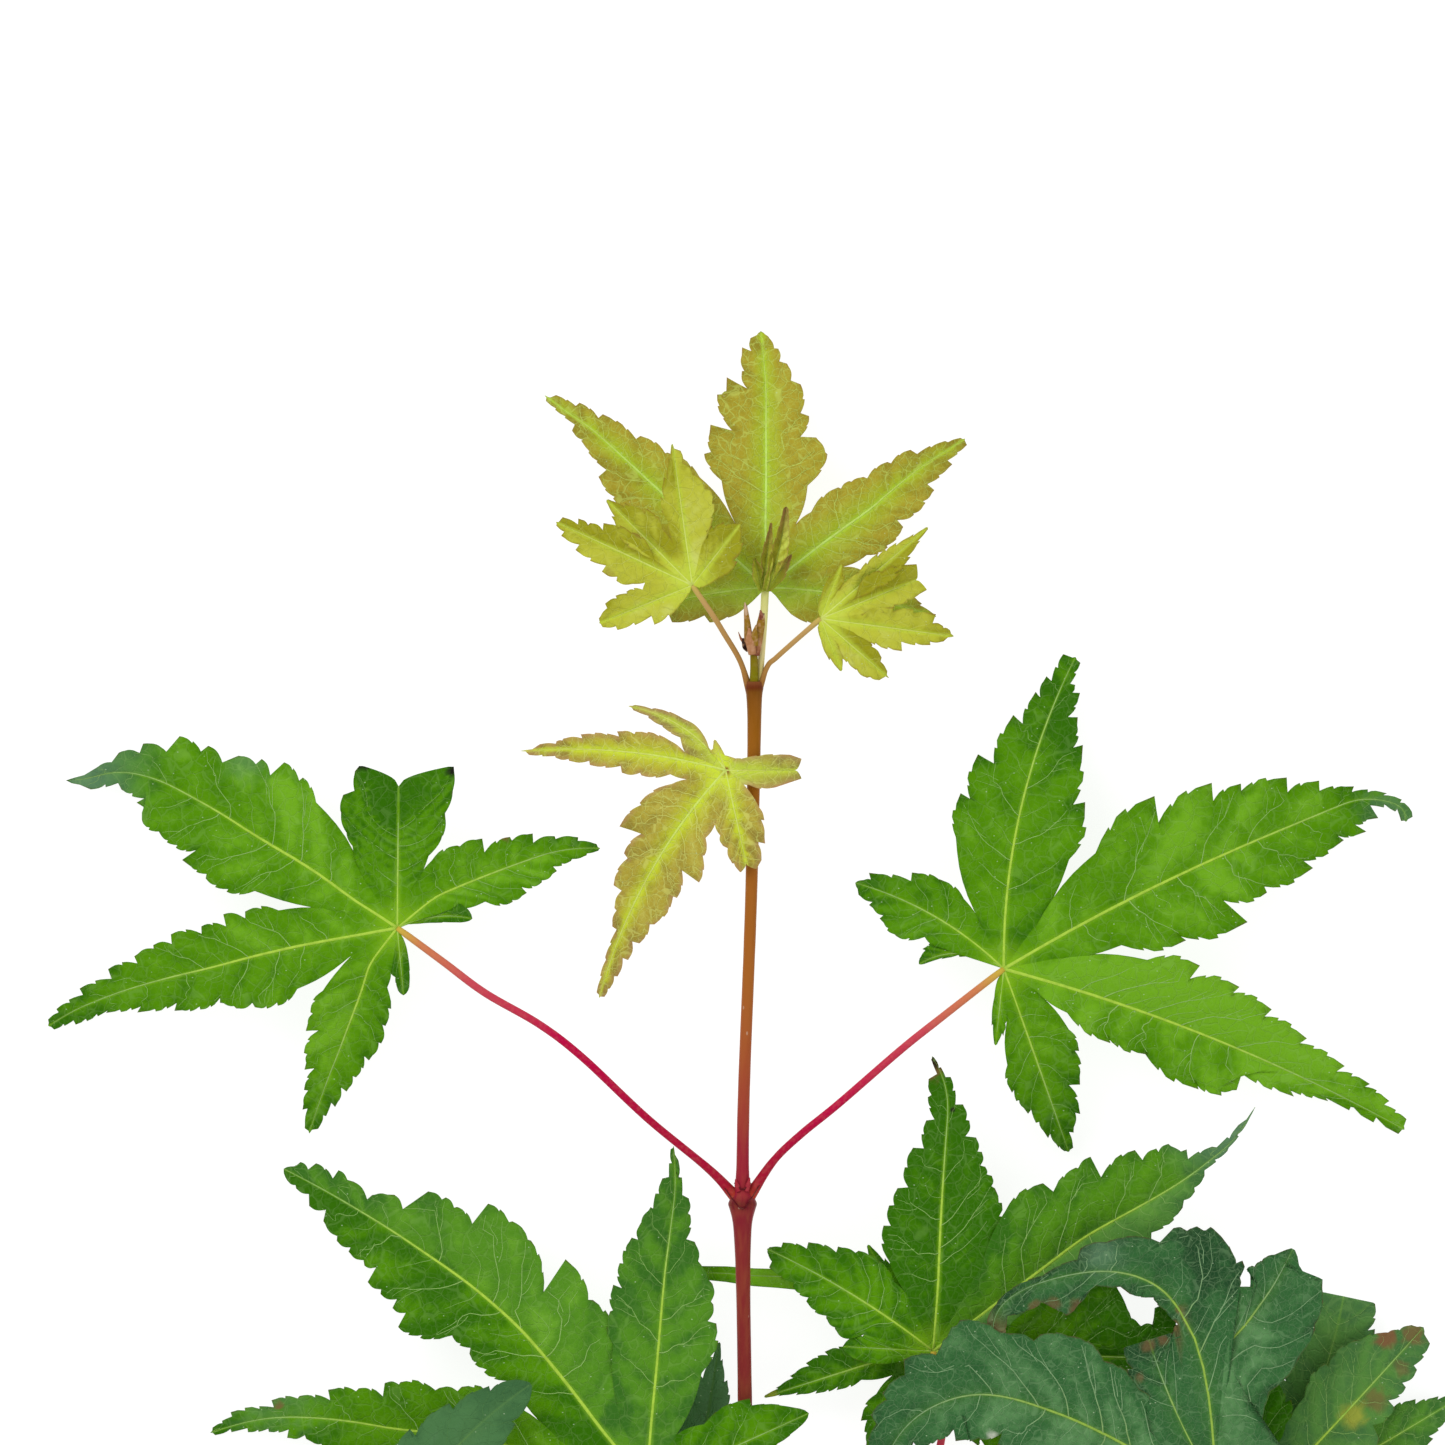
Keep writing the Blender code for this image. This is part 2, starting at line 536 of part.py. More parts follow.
def add_stem(collection):
    """The stem: one tapering limb from its flat cut to the top node."""
    route = smooth_route([(x, y, z, r) for y, x, z, r in STEM], STEM_STEPS)
    radii = [point.w for point in route]
    add_tube("stem", [point.xyz for point in route], radii, STEM_RED, collection)


def stalk_end(blade, radius):
    """The stalk's end under the blade's base, clear of the blade and of its fold."""
    x, y, z = blade["base"]
    return Vector((x, y, z - blade["thick"] / 2 - GAP - radius - STALK_SLACK))


def add_stalk(name, plan, collection):
    """A leaf stalk from the stem's side to the underside of its blade."""
    blade_name, along, side, passes, radii, colour = plan
    axis, stem_radius = stem_at(along)
    toward = Vector(passes[0]) - axis
    slant = abs(toward.y) / toward.length
    foot = axis + Vector((side * (stem_radius + GAP + STALK_SLACK + radii[2] * slant), 0.0, 0.0))
    end = stalk_end(BLADES[blade_name], radii[0])
    route = smooth_route([foot, *passes, end], STALK_STEPS)
    profile = ((0.0, radii[2]), (STALK_FOOT, radii[1]), (STALK_NECK, radii[1]), (1.0, radii[0]))
    widths = [between(profile, step / STALK_STEPS) for step in range(STALK_STEPS + 1)]
    add_tube(name, route, widths, colour, collection)


def add_shoot_tip(collection):
    """The pale last internode, the bud's stalk, its scales and the stalk that passes behind."""
    add_tube("tip_internode", TIP_INTERNODE, TIP_RADII, PALE, collection)
    add_tube("bud_stalk", BUD_STALK, BUD_STALK_RADII, PALE, collection)
    for name, (route, radii) in BUD_SCALES.items():
        add_tube(name, route, radii, BROWN, collection)
    route = smooth_route(FRONT_STALK, STALK_STEPS)
    add_tube("stalk_top_front", route, [FRONT_STALK_RADIUS] * len(route), OLIVE, collection)


def build():
    """Makes the whole shoot."""
    clear_scene()
    collection = bpy.data.collections.new(COLLECTION)
    bpy.context.scene.collection.children.link(collection)
    add_stem(collection)
    for name, plan in STALKS.items():
        add_stalk(name, plan, collection)
    for name, blade in BLADES.items():
        add_blade(name, blade, collection)
    add_shoot_tip(collection)


build()
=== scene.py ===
"""Looks of the cut Japanese maple shoot: serrated blades with veins, leaf stalks, stem and bud.

The tables and rules of the part's source are written again here and carried to finer detail.
Sizes are in millimetres and angles in degrees, counter-clockwise from +X seen from above.
Places are measured from the node where the middle pair of leaves grows.
"""
import math
from collections import Counter
from types import SimpleNamespace

import bpy
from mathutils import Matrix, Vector, noise


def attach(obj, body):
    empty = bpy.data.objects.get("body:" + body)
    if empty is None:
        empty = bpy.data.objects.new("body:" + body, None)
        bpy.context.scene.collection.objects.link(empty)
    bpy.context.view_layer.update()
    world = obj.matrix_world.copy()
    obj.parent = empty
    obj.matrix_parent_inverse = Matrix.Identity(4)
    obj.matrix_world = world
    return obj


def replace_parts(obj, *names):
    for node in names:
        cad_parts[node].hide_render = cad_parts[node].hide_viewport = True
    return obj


MM = 0.001
ORIGIN = Vector((3.06, 18.31, 0.002))
UP = Vector((0.0, 0.0, 1.0))
RIGHT_ANGLE = 90.0
TINY = 1e-6
# The right-hand and the left-hand side of a lobe, seen towards its tip
SIDES = (-1, 1)

# The camera looks straight down. Its frame is this wide at the height of most leaves
VIEW_CENTRE = (-2.6, 62.075)
FRAME_SIDE = 187.85
FRAME_HEIGHT = 10.0
CAMERA_HEIGHT = 1200.0
SENSOR = 36.0
CAMERA_REACH = 100.0

# The studio in metres: a floor that glows a little, even light from all round, and square lamps
# over the shoot with their places, sizes and power
FLOOR_SIDE = 12.0
FLOOR_GREY = 0.25
FLOOR_GLOW = 0.86
ROOM_LIGHT = 0.72
WHITE = (1.0, 1.0, 1.0, 1.0)
LAMPS = {"key": ((-0.7, 0.7, 1.0), 0.8, 7.0), "fill": ((0.9, -0.4, 0.9), 1.0, 3.0)}

# The stem: place along Y, place across X, height of its axis and radius
STEM = (
    (-76.7, 0.7, 1.15, 1.15),
    (-63.2, 0.6, 2.1, 1.10),
    (-49.1, 0.6, 4.2, 1.05),
    (-25.2, 0.3, 8.8, 0.93),
    (-12.0, 0.1, 11.2, 0.93),
    (-4.0, 0.0, 12.2, 1.15),
    (-0.5, 0.0, 12.5, 1.6),
    (3.0, 0.0, 12.7, 0.9),
    (15.0, 0.2, 13.1, 0.78),
    (39.0, 1.1, 13.3, 0.78),
    (60.0, 1.5, 13.4, 0.88),
    (67.4, 1.5, 13.6, 1.05),
)
STEM_STEPS = 320
STEM_SIDES = 28
NODE_LOW = -49.1
NODE_DARK = -56.2
NODE_HIDDEN = -63.2
ABOVE_HIDDEN = NODE_HIDDEN + 2.8
NODE_BACK = -69.5
NODE_MIDDLE = 1.2
NODE_TOP = 67.0
# Where the stem swells, by how much of its radius and over what length, and the ring before that
SWELLINGS = (NODE_BACK, NODE_HIDDEN, NODE_DARK, NODE_LOW, NODE_MIDDLE - 1.4, NODE_TOP - 0.3)
SWELL = 0.132
SWELL_LENGTH = 1.1
RING = 0.05
RING_LENGTH = 0.35
RING_BEFORE = 0.2
STEM_UNEVEN = 0.025
UNEVEN_LENGTH = 3.0

# The grid of each half lobe: rows from the leaf's base to the cleft, rows of smooth margin past
# it, rows on each large tooth by its number of small ones, and columns from midrib to edge. All
# columns but the last two fill a share of the half-width, and the last but one stands at a share
# of the way from there to the edge
SEAM_ROWS = 6
MARGIN_ROWS = 6
SMALL_ROWS = {1: (9,), 2: (4, 5), 3: (3, 3, 3)}
COLUMNS = 12
INNER = 0.9
HALFWAY = 0.55

# Large teeth: shares of the way to the tip where the first starts and each lasts beside the one
# before, and how deep the notches dealt out by rule are, in half-widths
TOOTH_START = 0.24
TOOTH_RATIO = 0.9
TOOTH_DEPTH = 0.13
# Their shape: swelling of the edge in tooth lengths, where the point's row stands, and how far a
# plain point hangs over the next notch
TOOTH_SWELL = 0.17
MOST_SWELL = 0.09
TOOTH_POINT = 0.94
OVERHANG = 0.12
# Small teeth: lengths of a large tooth from which it has two and three, their cut and lean in
# their own lengths, and how strongly their points are marked
SMALL_FROM = (2.66, 4.56)
SMALL_CUT = 0.2
SMALL_LEAN = 0.05
SMALL_MARK = 0.6
# The margin's swelling before the first tooth, and how fast the rows straighten past the cleft
MARGIN_SWELL = 0.06
CLEFT_FADE = 1.5
# A lobe ends round if its end's half-widths are less than this, and in a point from a still
# smaller one. The last tooth stops before the round end, by a share of its half-width, or just
# before the tip. Rows past it have shares of the way to the tip and of the end's half-width
ROUND_MOST = 2.0
POINTED_MOST = 0.2
ROUND_ROOM = 1.1
LAST_TOOTH = 0.995
ROUND_END = ((0.4, 0.85), (0.75, 0.5), (1.0, 0.15))
BLUNT_END = ((1.0, 1.0),)
# How late on the way to a blunt end the rows bow forward, where its middle goes ahead
BOW_CURVE = 8

# Relief of a blade: arch of each half lobe beside a free edge and beside a seam, quilting between
# the veins, waves at the edge, and the share past the cleft where all that is reached. Relief is
# full from a half-width on, and the whole blade's slow waves from that distance off its base
ARCH = 0.05
SEAM_ARCH = 6.75
QUILT = 0.13
QUILT_ACROSS = (0.08, 0.84)
RIPPLE = 0.12
RELIEF_FROM = 0.15
RELIEF_WIDTH = 4.0
UNDULATION = 0.5
UNDULATION_SIZE = 16.0

# Side veins: how far before the place that they reach they leave the midrib, in half-widths, and
# how their way curves
VEIN_SLANT = 0.9
VEIN_CURVE = 1.3
# The half-width or length of edge that has room for one more, the least gap between two along
# the edge, the first place for one on the midrib, and the least share between two ends
VEIN_ROOM = 4.0
VEIN_GAP = 2.4
FIRST_VEIN = 0.11
VEIN_APART = 0.09
# How far before its tooth's point a vein ends, in tooth lengths, and the share that closes the row
VEIN_SHORT = 0.03
LAST_END = 1.02
# Side veins by kind, with their strength and the share of the half-width where they end
FIRST_KIND = (0.8, 0.85)
WHOLE_KIND = (1.0, 0.97)
SHORT_KIND = (0.5, 0.5)
# Their wobble, with its waves on the way out and from vein to vein, and their forks: share of the
# way out and turn along the edge, where they end, how they curve, and the edge that they need
WOBBLE = 0.05
WOBBLE_WAVES = (4.0, 20.0)
FORKS = ((0.5, -0.5), (0.66, -0.24))
FORK_END = 0.94
FORK_CURVE = 0.9
FORK_ROOM = 2.88
VEIN_STEPS = 9
PLACE_ROUNDS = 4
FORK_STEPS = 5
# A midrib's radius at its foot, what each millimetre of its lobe adds, and the taper of ribs,
# veins and forks from there. How high the rib's middle lies in half the blade's thickness
RIB_RADIUS = 0.11
RIB_GROWTH = 0.0027
RIB_TAPER = (0.86, 0.9)
VEIN_TAPER = 0.6
FORK_RADII = (0.55, 0.3)
RIB_RISE = 0.6
# Side veins get thinner towards a lobe's tip, and on narrow lobes down to a share of their radius
VEIN_THINNING = 0.45
NARROW_SHARE = 0.4
WIDE_LOBE = 8.0
RIB_SIDES = 8
RIB_FLATNESS = 0.75
VEIN_SIDES = 4
VEIN_FLATNESS = 0.7

# How the values that a surface reads change over a blade: how wide the glow beside a rib is at
# its foot and how much less at its tip, how dark the tip is, the span and strength of pale tips,
# whose bluish grey is partly the underside and partly painted sheen, the strength of brown ones,
# and the fade between the two sides' values at the midrib
GLOW_TAPER = (1.05, 0.8)
TIP_SHADE = 0.45
PALE_SPAN = 0.25
PALE = 0.8
BROWN = 0.7
SIDE_FADE = (-0.02, 0.12)

# Uneven patches: waves in a millimetre, detail, the range of the noise that they change over, and
# the values at both its ends
PATCHES = (0.13, 4.0, 0.33, 0.67, -0.3, 0.3)
MOTTLING = (0.9, 3.0, 0.3, 0.7, -0.15, 0.15)
BROKEN_RIM = (0.5, 3.0, 0.3, 0.6)
BLADE_GLOSS = (0.6, 3.0, 0.3, 0.7)
SMOOTHER = 0.06
ROUGHER = 0.1
STREAKS = 0.25
BARK_STREAKS = 0.15
VEIN_STREAKS = (1.1, 2.0, 0.35, 0.7)
STEM_STREAKS = (1.4, 3.0, 0.35, 0.7)
STALK_STREAKS = (2.0, 2.0, 0.4, 0.75)
# Bands on a blade: the distances in millimetres, or in cells, between which a value changes
MARGIN_SHADE = (0.0, 2.5, -0.25, 0.0)
HEART_BAND = (0.8, 5.0, 0.7, 0.0)
POINT_BAND = (0.05, 0.3, 0.6, 0.0)
SPECK_AND_GLINT_BAND = (0.03, 0.08, 0.55, 0.0)
BARK_SPECK_BAND = (0.06, 0.1, 0.5, 0.0)
NET_BAND = (0.015, 0.06, 1.0, 0.0)
FINE_BAND = (0.02, 0.12, 0.4, 0.0)
HALO_FROM = 0.3
GLOW_FROM = 0.1
# Specks on blades, partly painted glints, and on bark: cells in a millimetre, what is measured,
# and their stretch
SPECKS_AND_GLINTS = (0.6, "F1", (1.0, 1.4, 0.001))
BARK_SPECKS = (0.55, "F1", (1.0, 0.5, 1.0))
# Radii between which a vein turns from its own colour to the midrib's
VEIN_SIZES = (0.06, 0.18)
# The net of small veins: how its lines wander, the finer net's cells in a cell, and its depth
NET_WARP = 0.8
FINE_NET = 2.3
NET_DEPTH = 0.9

# Gloss on leaves takes their own colour
SHEEN_TINT = (0.9, 1.0, 0.3)
# Pale specks, partly dust and scratches and partly painted glints, a bluish grey that is partly
# the leaves' underside and partly painted sheen, and colours of damage: yellowed, dark red,
# scorched, bleached and black
SPECK_AND_GLINT = (0.55, 0.68, 0.45)
BLUISH_GREY_AND_SHEEN = (0.11, 0.22, 0.13)
DAMAGE = {
    "yellow": (0.40, 0.40, 0.05),
    "crimson": (0.20, 0.01, 0.02),
    "scorch": (0.22, 0.09, 0.045),
    "bleach": (0.55, 0.58, 0.48),
    "char": (0.012, 0.010, 0.010),
}


def blade_look(slot, **given):
    """What a kind of blade looks like: the values given for it, and else the usual ones.

    It has colours of its plain, light and dark areas, of which the light and dark stand partly for
    painted light and shade, of its ribs and side veins, the wide halo and the narrow glow beside its
    ribs, its edge and tooth points. Then come the widths and strengths of halo, glow and edge, how
    strongly the net of veins and the painted shading of the pleats show, how thick side veins are
    beside ribs, the blade's thickness and its gloss.
    """
    usual = dict(thick=0.22, halo_wide=4.0, halo_mix=0.4, glow_wide=0.8, glow_mix=0.75, edge_wide=0.3,
                 edge_mix=0.55, net_size=0.5, pleat=0.25, branch=0.5, rough=0.5, specular=0.1)
    return SimpleNamespace(slot=slot, **{**usual, **given})


LOOKS = {
    "mature": blade_look(
        "mature_leaf", plain=(0.078, 0.25, 0.002), light=(0.155, 0.39, 0.014), dark=(0.03, 0.14, 0.002),
        rib=(0.42, 0.63, 0.07), vein=(0.30, 0.50, 0.15), halo=(0.11, 0.31, 0.004), glow=(0.22, 0.46, 0.012),
        edge=(0.05, 0.15, 0.006), tooth=(0.10, 0.05, 0.02), glow_mix=0.5, edge_wide=0.2, edge_mix=0.5,
        net=0.13, branch=0.4, specular=0.05),
    "dark": blade_look(
        "dark_leaf", plain=(0.026, 0.118, 0.034), light=(0.10, 0.25, 0.09), dark=(0.010, 0.055, 0.020),
        rib=(0.3, 0.47, 0.07), vein=(0.24, 0.40, 0.20), halo=(0.045, 0.16, 0.030), glow=(0.08, 0.22, 0.03),
        edge=(0.07, 0.07, 0.02), tooth=(0.09, 0.04, 0.02), glow_mix=0.6, edge_wide=0.25, edge_mix=0.6,
        net=0.22, net_size=0.8, pleat=0.2, branch=0.6, rough=0.42, specular=0.14),
    # Leaves that lie in shade under the others: a darker, bluer copy of the mature green, partly their own
    # colour and partly painted shade
    "deep": blade_look(
        "deep_leaf", plain=(0.050, 0.165, 0.040), light=(0.10, 0.23, 0.10), dark=(0.02, 0.10, 0.02),
        rib=(0.16, 0.30, 0.05), vein=(0.09, 0.22, 0.07), halo=(0.06, 0.17, 0.04), glow=(0.08, 0.2, 0.04),
        edge=(0.05, 0.14, 0.04), tooth=(0.04, 0.07, 0.02), halo_mix=0.3, glow_wide=0.7, glow_mix=0.6,
        edge_wide=0.25, edge_mix=0.5, net=0.08, pleat=0.15, branch=0.45),
    "young": blade_look(
        "young_leaf", plain=(0.48, 0.50, 0.045), light=(0.6, 0.65, 0.16), dark=(0.31, 0.31, 0.012),
        rib=(0.64, 0.74, 0.18), vein=(0.60, 0.64, 0.16), halo=(0.54, 0.59, 0.035), glow=(0.54, 0.66, 0.06),
        edge=(0.24, 0.15, 0.02), tooth=(0.24, 0.10, 0.03), thick=0.2, halo_wide=3.0, halo_mix=0.3,
        glow_wide=1.1, net=0.14, net_size=0.6, pleat=0.1),
    "bronze": blade_look(
        "bronze_leaf", plain=(0.385, 0.315, 0.028), light=(0.43, 0.47, 0.05), dark=(0.27, 0.22, 0.02),
        rib=(0.56, 0.78, 0.18), vein=(0.52, 0.64, 0.13), halo=(0.37, 0.49, 0.02), glow=(0.44, 0.68, 0.05),
        edge=(0.32, 0.20, 0.05), tooth=(0.25, 0.10, 0.05), thick=0.2, halo_wide=5.5, halo_mix=0.85,
        glow_wide=1.0, edge_mix=0.4, net=0.45, net_size=0.7, branch=0.6),
    "front": blade_look(
        "bronze_leaf", plain=(0.43, 0.35, 0.045), light=(0.55, 0.52, 0.1), dark=(0.28, 0.21, 0.035),
        rib=(0.62, 0.76, 0.16), vein=(0.66, 0.70, 0.18), halo=(0.52, 0.60, 0.022), glow=(0.60, 0.74, 0.045),
        edge=(0.48, 0.26, 0.13), tooth=(0.40, 0.14, 0.08), thick=0.2, halo_wide=3.2, halo_mix=0.85,
        glow_wide=1.2, edge_wide=0.9, net=0.45, net_size=0.7),
    "folded": blade_look(
        "young_leaf", plain=(0.38, 0.39, 0.025), light=(0.58, 0.66, 0.1), dark=(0.2, 0.19, 0.01),
        rib=(0.44, 0.5, 0.08), vein=(0.25, 0.27, 0.05), halo=(0.22, 0.25, 0.012), glow=(0.26, 0.32, 0.02),
        edge=(0.38, 0.21, 0.07), tooth=(0.36, 0.18, 0.08), thick=0.2, halo_wide=1.0, halo_mix=0.1,
        glow_wide=0.3, edge_wide=0.2, edge_mix=0.6, net=0.1, net_size=0.8, pleat=0.2, branch=0.4),
}


def lobe(heading, reach, left, right, tip, **more):
    """A lobe's direction, length, sides and height at its tip, and what differs from the usual.

    A side is its largest half-width, or its large teeth. Each tooth has the share of the way from
    cleft to tip where it starts, the half-widths at that notch and at its point, and the share
    where its point lies, if that isn't just past the next notch.

    More can be given: its turn in degrees, or its headings at shares of its length, its number of
    teeth, where by rule it is widest and how it narrows from there, how deep small teeth are cut,
    the half-widths of its end on the left and right, how far the middle goes ahead of them, its
    half-widths in place of the rule, and how far its rib lies to the left. Then come its tone, one
    number or one for each side, which is partly its own lighter or darker green and partly painted
    light and shade of folded halves and of lobes in shade, its cool tint, a bluish grey that is
    partly the underside and partly painted sheen, its fresh skin, and where pale tips of that bluish
    grey and brown tips start.
    """
    usual = dict(bend=0.0, turns=None, teeth=4, start=TOOTH_START, peak=0.36, point=1.6, cut=1.0,
                 end=(0.15, 0.15), ahead=0.0, widths=None, sway=None, tone=0.0, cool=0.0, fresh=0.0,
                 pale_tip=None, brown_tip=None)
    own = dict(heading=heading, reach=reach, left=left, right=right, tip=tip)
    return SimpleNamespace(**own, **{**usual, **more})


def leaf(look, base, fold, clefts, *lobes):
    """A blade: its look, base point, the fold along its ribs, its clefts and its lobes.

    The lobes go counter-clockwise from the leaf stalk. The clefts lie before, between and after
    them, as distance and direction from the base.
    """
    return SimpleNamespace(look=look, base=base, fold=fold, clefts=clefts, lobes=lobes)


MIDDLE_LEFT = leaf(
    "mature", (-44.8, 35.4, 12.0), 0.16,
    ((1.0, 30.0), (8.2, 18.4), (5.7, 69.0), (7.7, 124.0), (7.0, 163.5), (7.0, 211.0), (6.0, 262.0),
     (1.6, 300.0)),
    lobe(7.0, 9.8, 1.9, 1.0, 11.6, bend=-40.0, teeth=1, point=0.7, cut=0.2, end=(1.0, 0.7), tone=-0.6),
    lobe(21.0, 28.2,
         ((0.13, 4.5, 5.0, 0.28), (0.29, 4.8, 4.6, 0.415), (0.397, 2.9, 3.6, 0.55), (0.553, 3.1, 3.0, 0.67),
          (0.655, 1.9, 1.4, 0.885), (0.88, 1.0, 0.5, 0.98)),
         ((0.2, 3.1, 4.4, 0.37), (0.37, 4.2, 3.9, 0.475), (0.455, 3.0, 3.3, 0.59), (0.595, 3.1, 2.4, 0.71),
          (0.695, 1.8, 1.5, 0.82), (0.83, 1.3, 0.9, 0.92), (0.925, 0.7, 0.3, 0.99)), 8.0, bend=-10.0,
         tone=(0.0, 0.3), sway=((0.0, 1.6), (0.7, 1.6), (0.8, 1.35), (0.9, 0.9), (1.0, 0.2))),
    lobe(89.6, 18.4,
         ((0.35, 5.9, 6.7, 0.48), (0.49, 6.8, 7.4, 0.66), (0.67, 7.5, 7.1, 0.8), (0.83, 5.7, 5.6, 0.97)),
         ((0.3, 4.0, 5.8, 0.48), (0.49, 5.9, 6.1, 0.65), (0.67, 6.1, 7.1, 0.83), (0.84, 7.1, 7.2, 0.98)),
         11.0, cut=0.25, end=(5.1, 7.2), ahead=2.6, tone=(-0.25, -0.1)),
    lobe(157.0, 47.6,
         ((0.285, 6.2, 8.1, 0.43), (0.435, 7.6, 7.7, 0.528), (0.5, 5.5, 6.1, 0.635),
          (0.64, 6.0, 5.7, 0.716), (0.72, 5.5, 3.5, 0.757), (0.735, 2.8, 2.2, 0.83),
          (0.84, 1.4, 1.5, 0.93)),
         ((0.25, 7.8, 9.7, 0.33), (0.335, 9.1, 10.1, 0.41), (0.427, 7.7, 8.9, 0.475),
          (0.48, 7.9, 7.6, 0.535), (0.565, 5.9, 6.9, 0.625), (0.635, 5.8, 6.4, 0.7),
          (0.717, 3.9, 4.0, 0.78), (0.785, 2.8, 2.5, 0.835), (0.855, 1.4, 1.0, 0.9)), 1.0, bend=43.0,
         end=(0.8, 0.6), pale_tip=0.72, tone=(0.1, 0.25),
         sway=((0.0, 1.1), (0.3, 1.0), (0.4, 0.6), (0.5, -0.2), (0.6, -1.0), (0.7, -2.0), (0.8, -2.4),
               (0.87, -2.0), (0.94, -0.6), (1.0, -0.5))),
    lobe(196.3, 47.9,
         ((0.19, 5.4, 6.4, 0.34), (0.345, 5.8, 5.9, 0.4), (0.405, 5.6, 4.6, 0.445), (0.44, 4.1, 4.3, 0.59),
          (0.575, 3.4, 3.2, 0.71), (0.69, 2.6, 1.9, 0.81), (0.8, 1.7, 1.7, 0.92), (0.92, 1.1, 0.8, 0.99)),
         ((0.2, 5.1, 5.9, 0.3), (0.305, 5.1, 6.3, 0.366), (0.367, 4.7, 5.5, 0.445), (0.45, 4.6, 5.4, 0.545),
          (0.55, 4.2, 4.6, 0.605), (0.607, 4.2, 3.8, 0.67), (0.667, 2.9, 3.3, 0.757),
          (0.757, 2.0, 2.3, 0.86), (0.858, 1.4, 1.3, 0.95), (0.95, 0.8, 0.7, 0.99)), 0.5, bend=18.0,
         end=(0.35, 0.35), tone=(0.0, 0.25),
         sway=((0.0, 0.2), (0.45, 0.1), (0.6, -0.4), (0.75, -0.8), (0.9, -0.9), (1.0, -0.4))),
    lobe(247.4, 29.6,
         ((0.1, 3.1, 4.5, 0.29), (0.29, 4.1, 4.0, 0.5), (0.485, 3.3, 3.3, 0.61), (0.61, 2.9, 2.8, 0.705),
          (0.695, 2.0, 2.1, 0.81), (0.795, 1.5, 0.9, 0.96)),
         ((0.22, 4.7, 5.2, 0.36), (0.362, 4.9, 4.9, 0.465), (0.435, 3.4, 4.1, 0.59),
          (0.59, 3.7, 3.2, 0.675), (0.645, 2.1, 2.4, 0.78), (0.775, 1.9, 1.7, 0.885),
          (0.87, 1.2, 0.7, 0.98)), 0.5, bend=14.0, end=(0.25, 0.2), tone=(0.1, 0.45),
         sway=((0.0, -1.0), (0.15, -0.4), (0.3, -0.2), (0.5, -0.1), (1.0, -0.6))),
    lobe(275.0, 8.8, 1.3, 0.9, 11.0, teeth=1, cut=0.2, end=(0.8, 0.6), tone=-0.7),
)
MIDDLE_RIGHT = leaf(
    "mature", (33.9, 30.1, 12.0), 0.16,
    ((1.6, 240.0), (6.5, 274.0), (5.1, 325.0), (6.9, 11.0), (6.8, 53.0), (6.4, 117.0), (9.6, 162.0),
     (1.0, 150.0)),
    lobe(264.0, 10.0, 1.1, 1.0, 11.0, teeth=2),
    lobe(290.0, 25.8,
         ((0.28, 5.3, 5.6), (0.41, 5.1, 4.2), (0.6, 2.9, 3.0), (0.775, 2.5, 1.3), (0.88, 0.9, 0.7)),
         ((0.3, 3.8, 4.4), (0.467, 4.0, 3.3), (0.64, 2.8, 1.9), (0.84, 1.5, 1.0), (0.94, 0.9, 0.5)), 1.5,
         end=(0.3, 0.3)),
    lobe(338.0, 57.0,
         ((0.22, 6.6, 8.2), (0.335, 6.1, 7.5), (0.447, 6.4, 6.4), (0.545, 5.2, 4.8), (0.655, 3.9, 3.7),
          (0.772, 2.6, 3.1), (0.855, 2.5, 2.3), (0.922, 1.6, 1.3)),
         ((0.09, 3.2, 5.2), (0.205, 4.6, 4.9), (0.31, 5.0, 6.8), (0.455, 6.1, 6.4), (0.525, 6.0, 4.9),
          (0.56, 2.8, 2.7), (0.69, 2.2, 1.3), (0.78, 1.1, 0.9)), 0.5, bend=-14.0, end=(0.4, 0.2),
         tone=(1.25, 0.55)),
    lobe(20.4, 56.3,
         ((0.21, 7.4, 10.7), (0.375, 7.3, 9.2), (0.515, 6.9, 7.6), (0.587, 6.7, 6.0), (0.693, 4.2, 4.0),
          (0.768, 2.8, 1.8), (0.838, 1.2, 1.0), (0.91, 0.7, 0.9)),
         ((0.16, 4.8, 8.0), (0.295, 6.9, 9.2, 0.472), (0.437, 5.3, 6.1, 0.68), (0.662, 4.8, 4.3, 0.778),
          (0.765, 3.4, 4.3, 0.845), (0.82, 3.0, 2.4, 0.9), (0.88, 0.8, 0.7)), 1.4, end=(0.3, 0.25),
         pale_tip=0.86, tone=(0.45, 0.25),
         turns=((0.0, 31.0), (0.28, 27.0), (0.62, 22.5), (0.83, 22.0), (0.89, 0.0), (0.95, -20.0),
                (1.0, -95.0))),
    lobe(76.5, 41.7,
         ((0.28, 7.6, 8.1), (0.41, 6.7, 7.2), (0.547, 4.9, 4.4), (0.707, 2.9, 2.8), (0.815, 2.0, 2.3),
          (0.885, 1.5, 1.6)),
         ((0.27, 7.4, 7.8), (0.476, 6.4, 5.3), (0.685, 4.3, 3.4), (0.789, 2.3, 2.5), (0.878, 1.6, 1.5),
          (0.905, 0.9, 0.9)), 1.2, bend=-28.0, end=(0.35, 0.35), tone=(-0.1, -0.25)),
    lobe(150.0, 22.2,
         ((0.14, 3.0, 4.6, 0.42), (0.45, 4.5, 3.3), (0.64, 2.8, 2.1), (0.795, 1.7, 1.3)),
         ((0.2, 3.9, 4.5), (0.4, 4.4, 3.7), (0.595, 2.7, 1.7), (0.885, 1.0, 0.6)), 8.0, bend=29.0,
         end=(0.8, 0.6)),
    lobe(177.0, 11.0, 0.6, 1.8, 10.6, bend=70.0, teeth=2, end=(0.3, 0.5)),
)
